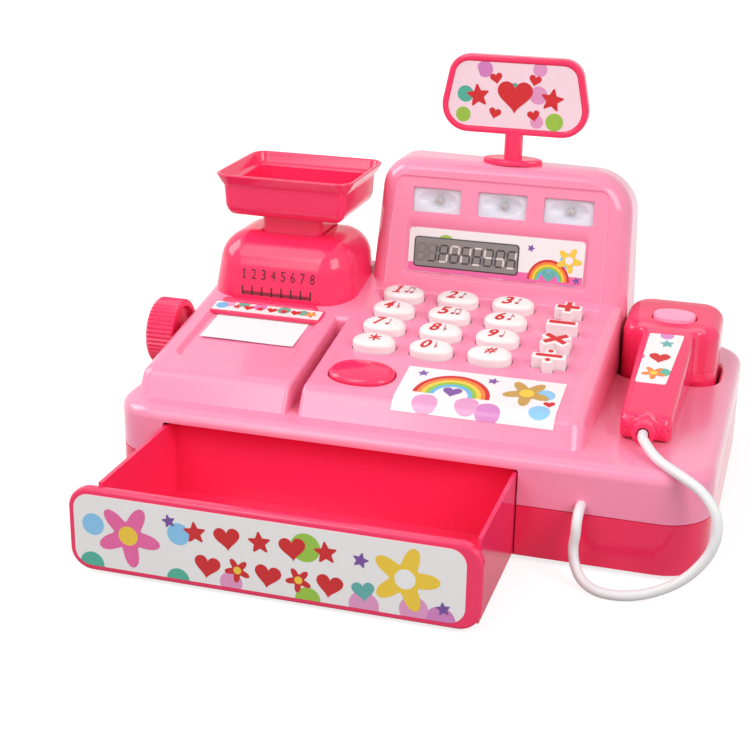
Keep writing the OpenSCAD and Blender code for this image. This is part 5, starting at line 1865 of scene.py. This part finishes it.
@dataclass
class Printer:
    """Tear bar, its label, the paper strip and the fluted paper knob."""

    bar: tuple = (-135.2, -70.0, 67.7, 80.2)
    lip: tuple = (-132.0, -75.2, 79.0, 84.0)
    paper: tuple = (-130.0, -76.0, 40.5, 71.5)
    knob_x: tuple = (-166.0, -150.0)
    axis: tuple = (-15.0, 66.0)
    flutes: int = 48
    flute_deep: float = 0.9

    def build(self) -> None:
        """Makes the printer's pieces."""
        flat = [(0, -1.2), (0, 0.5), (0.1, 0.75), (0.35, 0.94), (0.7, 1.0), (1.6, 1.0)]
        bar = make("tear_bar_body", stack(frame_of(self.bar, 1.6), flat, CONSOLE.place))
        lip = [(0, -1.2), (0, 1.2), (0.3, 1.75), (0.9, 2.1), (1.7, 2.2), (2.2, 2.2)]
        carve(bar, stack(frame_of(self.lip, 2.4), lip, CONSOLE.place), Carve.JOIN)
        dress(bar, HOT_PINK, "case", "hot_pink", ["tear_bar"])
        x0, x1, u0, u1 = self.bar
        middle, u = (x0 + x1) / 2, (u0 + u1) / 2
        spots = [("flower", ORANGE_INK, middle + 26, u, 7.4, 12), ("disc", BLUE_INK, middle - 27, u, 7.0, 0)]
        spots += [("heart" if step % 2 else "star", RED_INK, middle - 18 + 7 * step, u, 6.0, 0)
                  for step in range(6)]
        label(("tear_bar_film", "tear_bar_motifs", "tear_bar_label"),
              rounded(rectangle(x0 + 0.8, x1 - 0.8, u0 + 1.0, u1 - 1.6), 0.8),
              lambda points, lift: CONSOLE.lay(points, lift + 1.0), 12.0, spots, lift=0.2, ink_lift=0.05)
        self.strip()
        self.knob()

    def strip(self) -> None:
        """The paper: a sheet that lies in its recess and lifts a little towards its free edge."""
        x0, x1, u0, u1 = self.paper
        across, up = np.meshgrid(np.linspace(x0, x1, 19), np.linspace(u0, u1, 15), indexing="xy")
        share = (u1 - up) / (u1 - u0)
        lift = -1.85 + 0.9 * share ** 2 + 0.12 * np.sin((across - x0) * 0.11) * share
        points = CONSOLE.place(np.stack([across, up, lift], -1))
        piece = make("receipt_paper_strip", sheet(points), closed=False)
        thick = piece.modifiers.new("thickness", "SOLIDIFY")
        thick.thickness = 0.12 * MM
        dress(piece, PAPER, "case", "paper", ["receipt_paper"])

    def knob(self) -> None:
        """The knob: rings about the shaft whose radius dips by the flute's depth between the ribs."""
        turn = np.linspace(0, 2 * math.pi, self.flutes * 8, endpoint=False)
        dip = self.flute_deep * (0.5 - 0.5 * np.cos(self.flutes * turn)) ** 0.7
        x0, x1 = self.knob_x
        stations = [
            (8, x1 - 2.5, 0), (14, x1 - 2.5, 0), (15.2, x1 - 0.2, 0), (17.6, x1, 0.2), (18.6, x1 - 0.4, 0.8),
            (19, x1 - 1.2, 1), (19, x0 + 1.6, 1), (18.6, x0 + 0.6, 0.9), (17.6, x0, 0.4), (15.4, x0, 0),
            (14.6, x0 + 0.5, 0), (14.0, x0 + 1.8, 0), (7.0, x0 + 1.9, 0), (6.4, x0 + 1.2, 0),
            (2, x0 + 1.1, 0)]
        radius, x, share = np.array(stations).T
        reach = radius[:, None] - share[:, None] * dip
        rings = np.stack([np.repeat(x[:, None], len(turn), 1), self.axis[0] + reach * np.cos(turn),
                          self.axis[1] + reach * np.sin(turn)], -1)
        knob = make("paper_knob_shell", loft(rings))
        hub = lathe([(5.5, -151), (5.5, -147.3)], lambda points: np.roll(points, 1, -1) + [0, *self.axis])
        carve(knob, hub, Carve.JOIN)
        dress(knob, HOT_PINK, "paper_feed", "hot_pink", ["paper_knob"], sharp=50)


# Drawer and scanner

@dataclass
class Drawer:
    """The open cash drawer: tray, front panel and its printed label."""

    panel: tuple = (-138.0, 64.0, 2.0, 45.0)
    face: float = -183.1
    back: float = -178.1
    corner: float = 11.0
    film: tuple = (-135.0, 56.6, 5.0, 42.0)

    def lay(self, flat: Array, lift: float) -> Array:
        """Puts flat (x, z) points on the panel's face."""
        return upright(level(flat, lift), self.face)

    def build(self) -> None:
        """Makes the drawer's pieces."""
        tray = merged("drawer_tray", "drawer_tray_shell")
        dress(tray, HOT_PINK, "drawer", "hot_pink", ["drawer_tray"], sharp=25)
        back = raised([(2.0, 0), (0.8, 0), (0.2, 0.3), (0, 0.9)], -self.back)
        front = raised([(0, -1.6), (0.3, -0.6), (0.9, -0.1), (1.6, 0), (2.4, 0)], -self.face)
        panel = stack(frame_of(self.panel, self.corner, 10), back + front, upright)
        dress(make("drawer_front_panel", panel), HOT_PINK, "drawer", "hot_pink", ["drawer_front"])
        x0, x1, z0, z1 = self.film
        z = (z0 + z1) / 2
        spots = [("flower", PINK_INK, x0 + 28, z, 33, 8), ("flower", YELLOW_INK, x1 - 28, z, 33, 20),
                 ("heart", TEAL_INK, x1 - 47.5, z - 9, 11, 8), ("star", VIOLET_INK, x1 - 49, z + 6, 9, -12),
                 ("star", VIOLET_INK, x1 - 10, z - 12, 8, 10), ("star", VIOLET_INK, x0 + 49, z + 11, 8, 14)]
        rows = (("heart", "star", 62, 16, 7, 6), ("flower", "heart", 68, 15, -9, -6))
        for odd, even, start, pitch, up, turn in rows:
            spots += [(odd if step % 2 else even, RED_INK, x0 + start + pitch * step, z + up, 13, turn)
                      for step in range(5)]
        label(("drawer_label_film", "drawer_label_motifs", "drawer_label"),
              rounded(rectangle(*self.film), 8, 0, 10), self.lay, 22.0, spots, "drawer")


@dataclass
class Scanner:
    """The hand scanner: handle and head as one soft body with a seam, button, lens, label and gland."""

    x: float = 117.5
    tail: float = -66.0
    tail_r: float = 5.0
    low: float = 55.3
    half: float = 12.75
    flare: float = 1.75
    run: float = 104.5
    tail_top: float = 68.3
    tilt: float = 11.25
    seam: float = 62.3
    seam_half: float = 0.09
    head: tuple = SCANNER_HEAD
    head_low: float = 40.0
    head_top: float = 90.4
    fall: float = 5 / 46
    button: tuple = (118.25, 41.0)
    neck: float = 6.0
    gland_z: float = 62.5

    def crown(self, y: Array) -> Array:
        """Height of the head's top, which falls towards the handle."""
        return self.head_top - (self.head[3] - y) * self.fall

    def tip(self, points: Array) -> Array:
        """Leans the head's top: each point drops with its distance from the back, the more the higher it is.

        Args:
            points: The upright head's points.

        Returns:
            The leaning head's points.
        """
        share = np.clip((points[..., 2] - self.seam) / 18, 0, 1)
        drop = (self.crown(points[..., 1]) - self.head_top) * share
        return points + drop[..., None] * [0, 0, 1]

    def section(self, y: float, inset: float) -> Array:
        """The handle's cross-section: a rounded rectangle that widens and rises to the head, and spreads as a
        quarter of a circle where it meets the head's front.

        Args:
            y: Its depth.
            inset: How far it is drawn in.

        Returns:
            The ring's points.
        """
        past = min(max(y - (self.head[2] + 1.0 - self.neck), 0), self.neck)
        spread = self.neck - math.sqrt(self.neck ** 2 - past ** 2)
        half = self.half + self.flare * (y - self.tail) / self.run + spread
        slope = self.tail_top + (y - self.tail) * math.tan(math.radians(self.tilt))
        top = min(slope, self.crown(y) - 0.07 * max(y - self.head[2], 0))
        flat = rounded(rectangle(self.x - half, self.x + half, self.low, top), [2.5, 2.5, 4, 4], inset, 8)
        return upright(level(flat, 0.0), y)

    def shell(self) -> Piece:
        """The head with the handle joined on and the seam cut round them.

        Returns:
            The piece.
        """
        top = self.head_top
        ends = [(self.tail_r + 0.5, self.tail), *raised(rounding(self.tail_r, 7), self.tail)]
        along = np.concatenate([np.linspace(-40, 18, 8), np.linspace(19.5, 25.5, 9), [29, 34, 39]])
        rings = [self.section(y, inset) for inset, y in ends] + [self.section(y, 0.0) for y in along]
        foot = raised([(1.5, 0), (0.4, 0.3), (0, 1.2)], self.head_low)
        crown = raised([*raised(fillet(7.0, 10), -0.4), (8.5, -0.25), (10, -0.12), (12.5, 0)], top)
        stations = [*foot, (0, self.seam), (0, self.seam + 9), *crown]
        body = make("scanner_shell", stack(frame_of(self.head, HEAD_CORNER, 12), stations, self.tip))
        carve(body, loft(np.stack(rings)), Carve.JOIN)
        carve(body, block(60, 180, -100, 120, self.seam - self.seam_half, self.seam + self.seam_half))
        return body

    def seat(self, points: Array) -> Array:
        """Puts points about the button's middle, on the head's falling top."""
        rise = float(self.crown(self.button[1])) + points[..., 1:2] * self.fall
        return points + [*self.button, 0] + rise * [0, 0, 1]

    def build(self) -> None:
        """Makes the scanner's pieces."""
        body = self.shell()
        well = [(0, -10), (0, -0.9), (-0.3, -0.5), (-1.2, 0.6)]
        carve(body, stack(oval_of(23.8, 14.8, power=2.3), well, self.seat))
        dress(body, HOT_PINK, "scanner", "hot_pink", ["scanner_top", "scanner_bottom"])
        cap = [(0, -4.5), (0, 1.0), (0.25, 1.75), (0.8, 2.2), (1.8, 2.42), (4.0, 2.5)]
        button = make("scanner_button_cap", stack(oval_of(23, 14, power=2.3), cap, self.seat))
        dress(button, PALE_PINK, "scanner_trigger", "pale_pink", ["scanner_button"])
        node_finish("scanner_window", RED_LENS)
        tube = [(3.0, -4), (3.0, 7), (3.4, 7.4), (5.1, 7.4), (5.8, 7.0), (6.0, 6.2), (6.0, 1.6), (6.6, 0.6),
                (7.4, 0), (7.4, -4), (3.0, -4)]
        gland = make("scanner_gland_tube", lathe(
            tube, lambda points: upright(points + [self.x, self.gland_z, 0], self.tail)))
        dress(gland, HOT_PINK, "scanner", "hot_pink", ["scanner_gland"])
        self.sticker()

    def sticker(self) -> None:
        """The label on the handle's sloping top."""
        plane = Slant(self.tail, self.tail_top, self.tilt, self.x)
        corners = np.array([(-10.1, 32.8), (5.5, 32.8), (9.0, 84.6), (-9.35, 83.9)])
        spots = [("flower", ORANGE_INK, -2, 43, 13, 0), ("heart", RED_INK, -1, 59, 11, 0),
                 ("star", TEAL_INK, 1, 74, 9, 10)]
        label(("scanner_label_film", "scanner_label_motifs", "scanner_label"), rounded(corners, 1.5),
              plane.lay, 13.0, spots, "scanner")


@dataclass
class KeypadLabel:
    """The label that runs from the console's slope down over its nose."""

    x0: float = -8.0
    x1: float = 75.0
    low: float = 62.6
    length: float = 33.0
    pitch: float = 20.0

    def path(self) -> tuple:
        """The nose's side line, from the label's foot up to its upper edge.

        Returns:
            The length along the line at each point, and the points.
        """
        case = UpperCase()
        line = rounded(case.profile(case.keypad_back), case.keypad_radii, 0, 24)
        bend = line[(line[:, 1] >= self.low) & (line[:, 0] < CONSOLE.y + 60)]
        y_low = case.foot + (self.low - case.deck) * (CONSOLE.y - case.foot) / (CONSOLE.z - case.deck)
        upper = CONSOLE.y + self.length * math.cos(math.radians(CONSOLE.tilt))
        whole = np.vstack([[(y_low, self.low)], bend[np.argsort(bend[:, 1])], [(upper, case.top_at(upper))]])
        whole = whole[np.argsort(whole[:, 1])]
        return np.concatenate([[0], np.cumsum(np.linalg.norm(np.diff(whole, axis=0), axis=1))]), whole

    def lay(self, flat: Array, lift: float) -> Array:
        """Puts points on the surface, lifted square to the line between two points close by.

        Args:
            flat: Their X and their length along the nose.
            lift: How far they stand off.

        Returns:
            Their (x, y, z).
        """
        run, line = self.path()

        def at(along: Array) -> Array:
            """Y and Z at a length along the nose."""
            return np.stack([np.interp(along, run, line[:, 0]), np.interp(along, run, line[:, 1])])

        step = 0.5
        y, z = at(flat[:, 1])
        dy, dz = at(flat[:, 1] + step) - at(flat[:, 1] - step)
        size = np.hypot(dy, dz)
        return np.column_stack([flat[:, 0], y - lift * dz / size, z + lift * dy / size])

    def build(self) -> None:
        """The film as a bent grid, and its motifs."""
        span = self.path()[0][-1]
        x, s = np.meshgrid(np.linspace(self.x0, self.x1, 25), np.linspace(0.2, span - 0.2, 61), indexing="xy")
        flat = np.column_stack([x.ravel(), s.ravel()])
        piece = make("keypad_label_film", sheet(self.lay(flat, 0.25).reshape(*x.shape, 3)), closed=False)
        uv_map(piece, flat, self.pitch)
        dress(piece, DOTTED, "case", "label", ["keypad_label"], sharp=60)
        spots = [("rainbow", None, 20, span - 25, 40, 0), ("flower", GOLD_INK, 57, span - 14, 25, 0),
                 ("heart", VIOLET_INK, 20, span - 21, 10, 0), ("star", VIOLET_INK, 1, span - 6, 7, 12),
                 ("star", VIOLET_INK, 38, span - 6, 7, -10), ("heart", RED_INK, 70, span - 22, 6, 10)]
        printed("keypad_label_motifs", scatter(spots, self.lay, 0.32), "case", "label")


def main() -> None:
    """Builds the surroundings, the cord and then each sub-assembly."""
    logging.basicConfig(level=logging.INFO, format="%(message)s")
    Studio().build()
    Cord().build()
    for part in (UpperCase(), LowerCase(), Tower(), KEYPAD, KeypadLabel(), Sign(), Scale(), Printer(),
                 Drawer(), Scanner()):
        part.build()


if __name__ == "__main__":
    main()
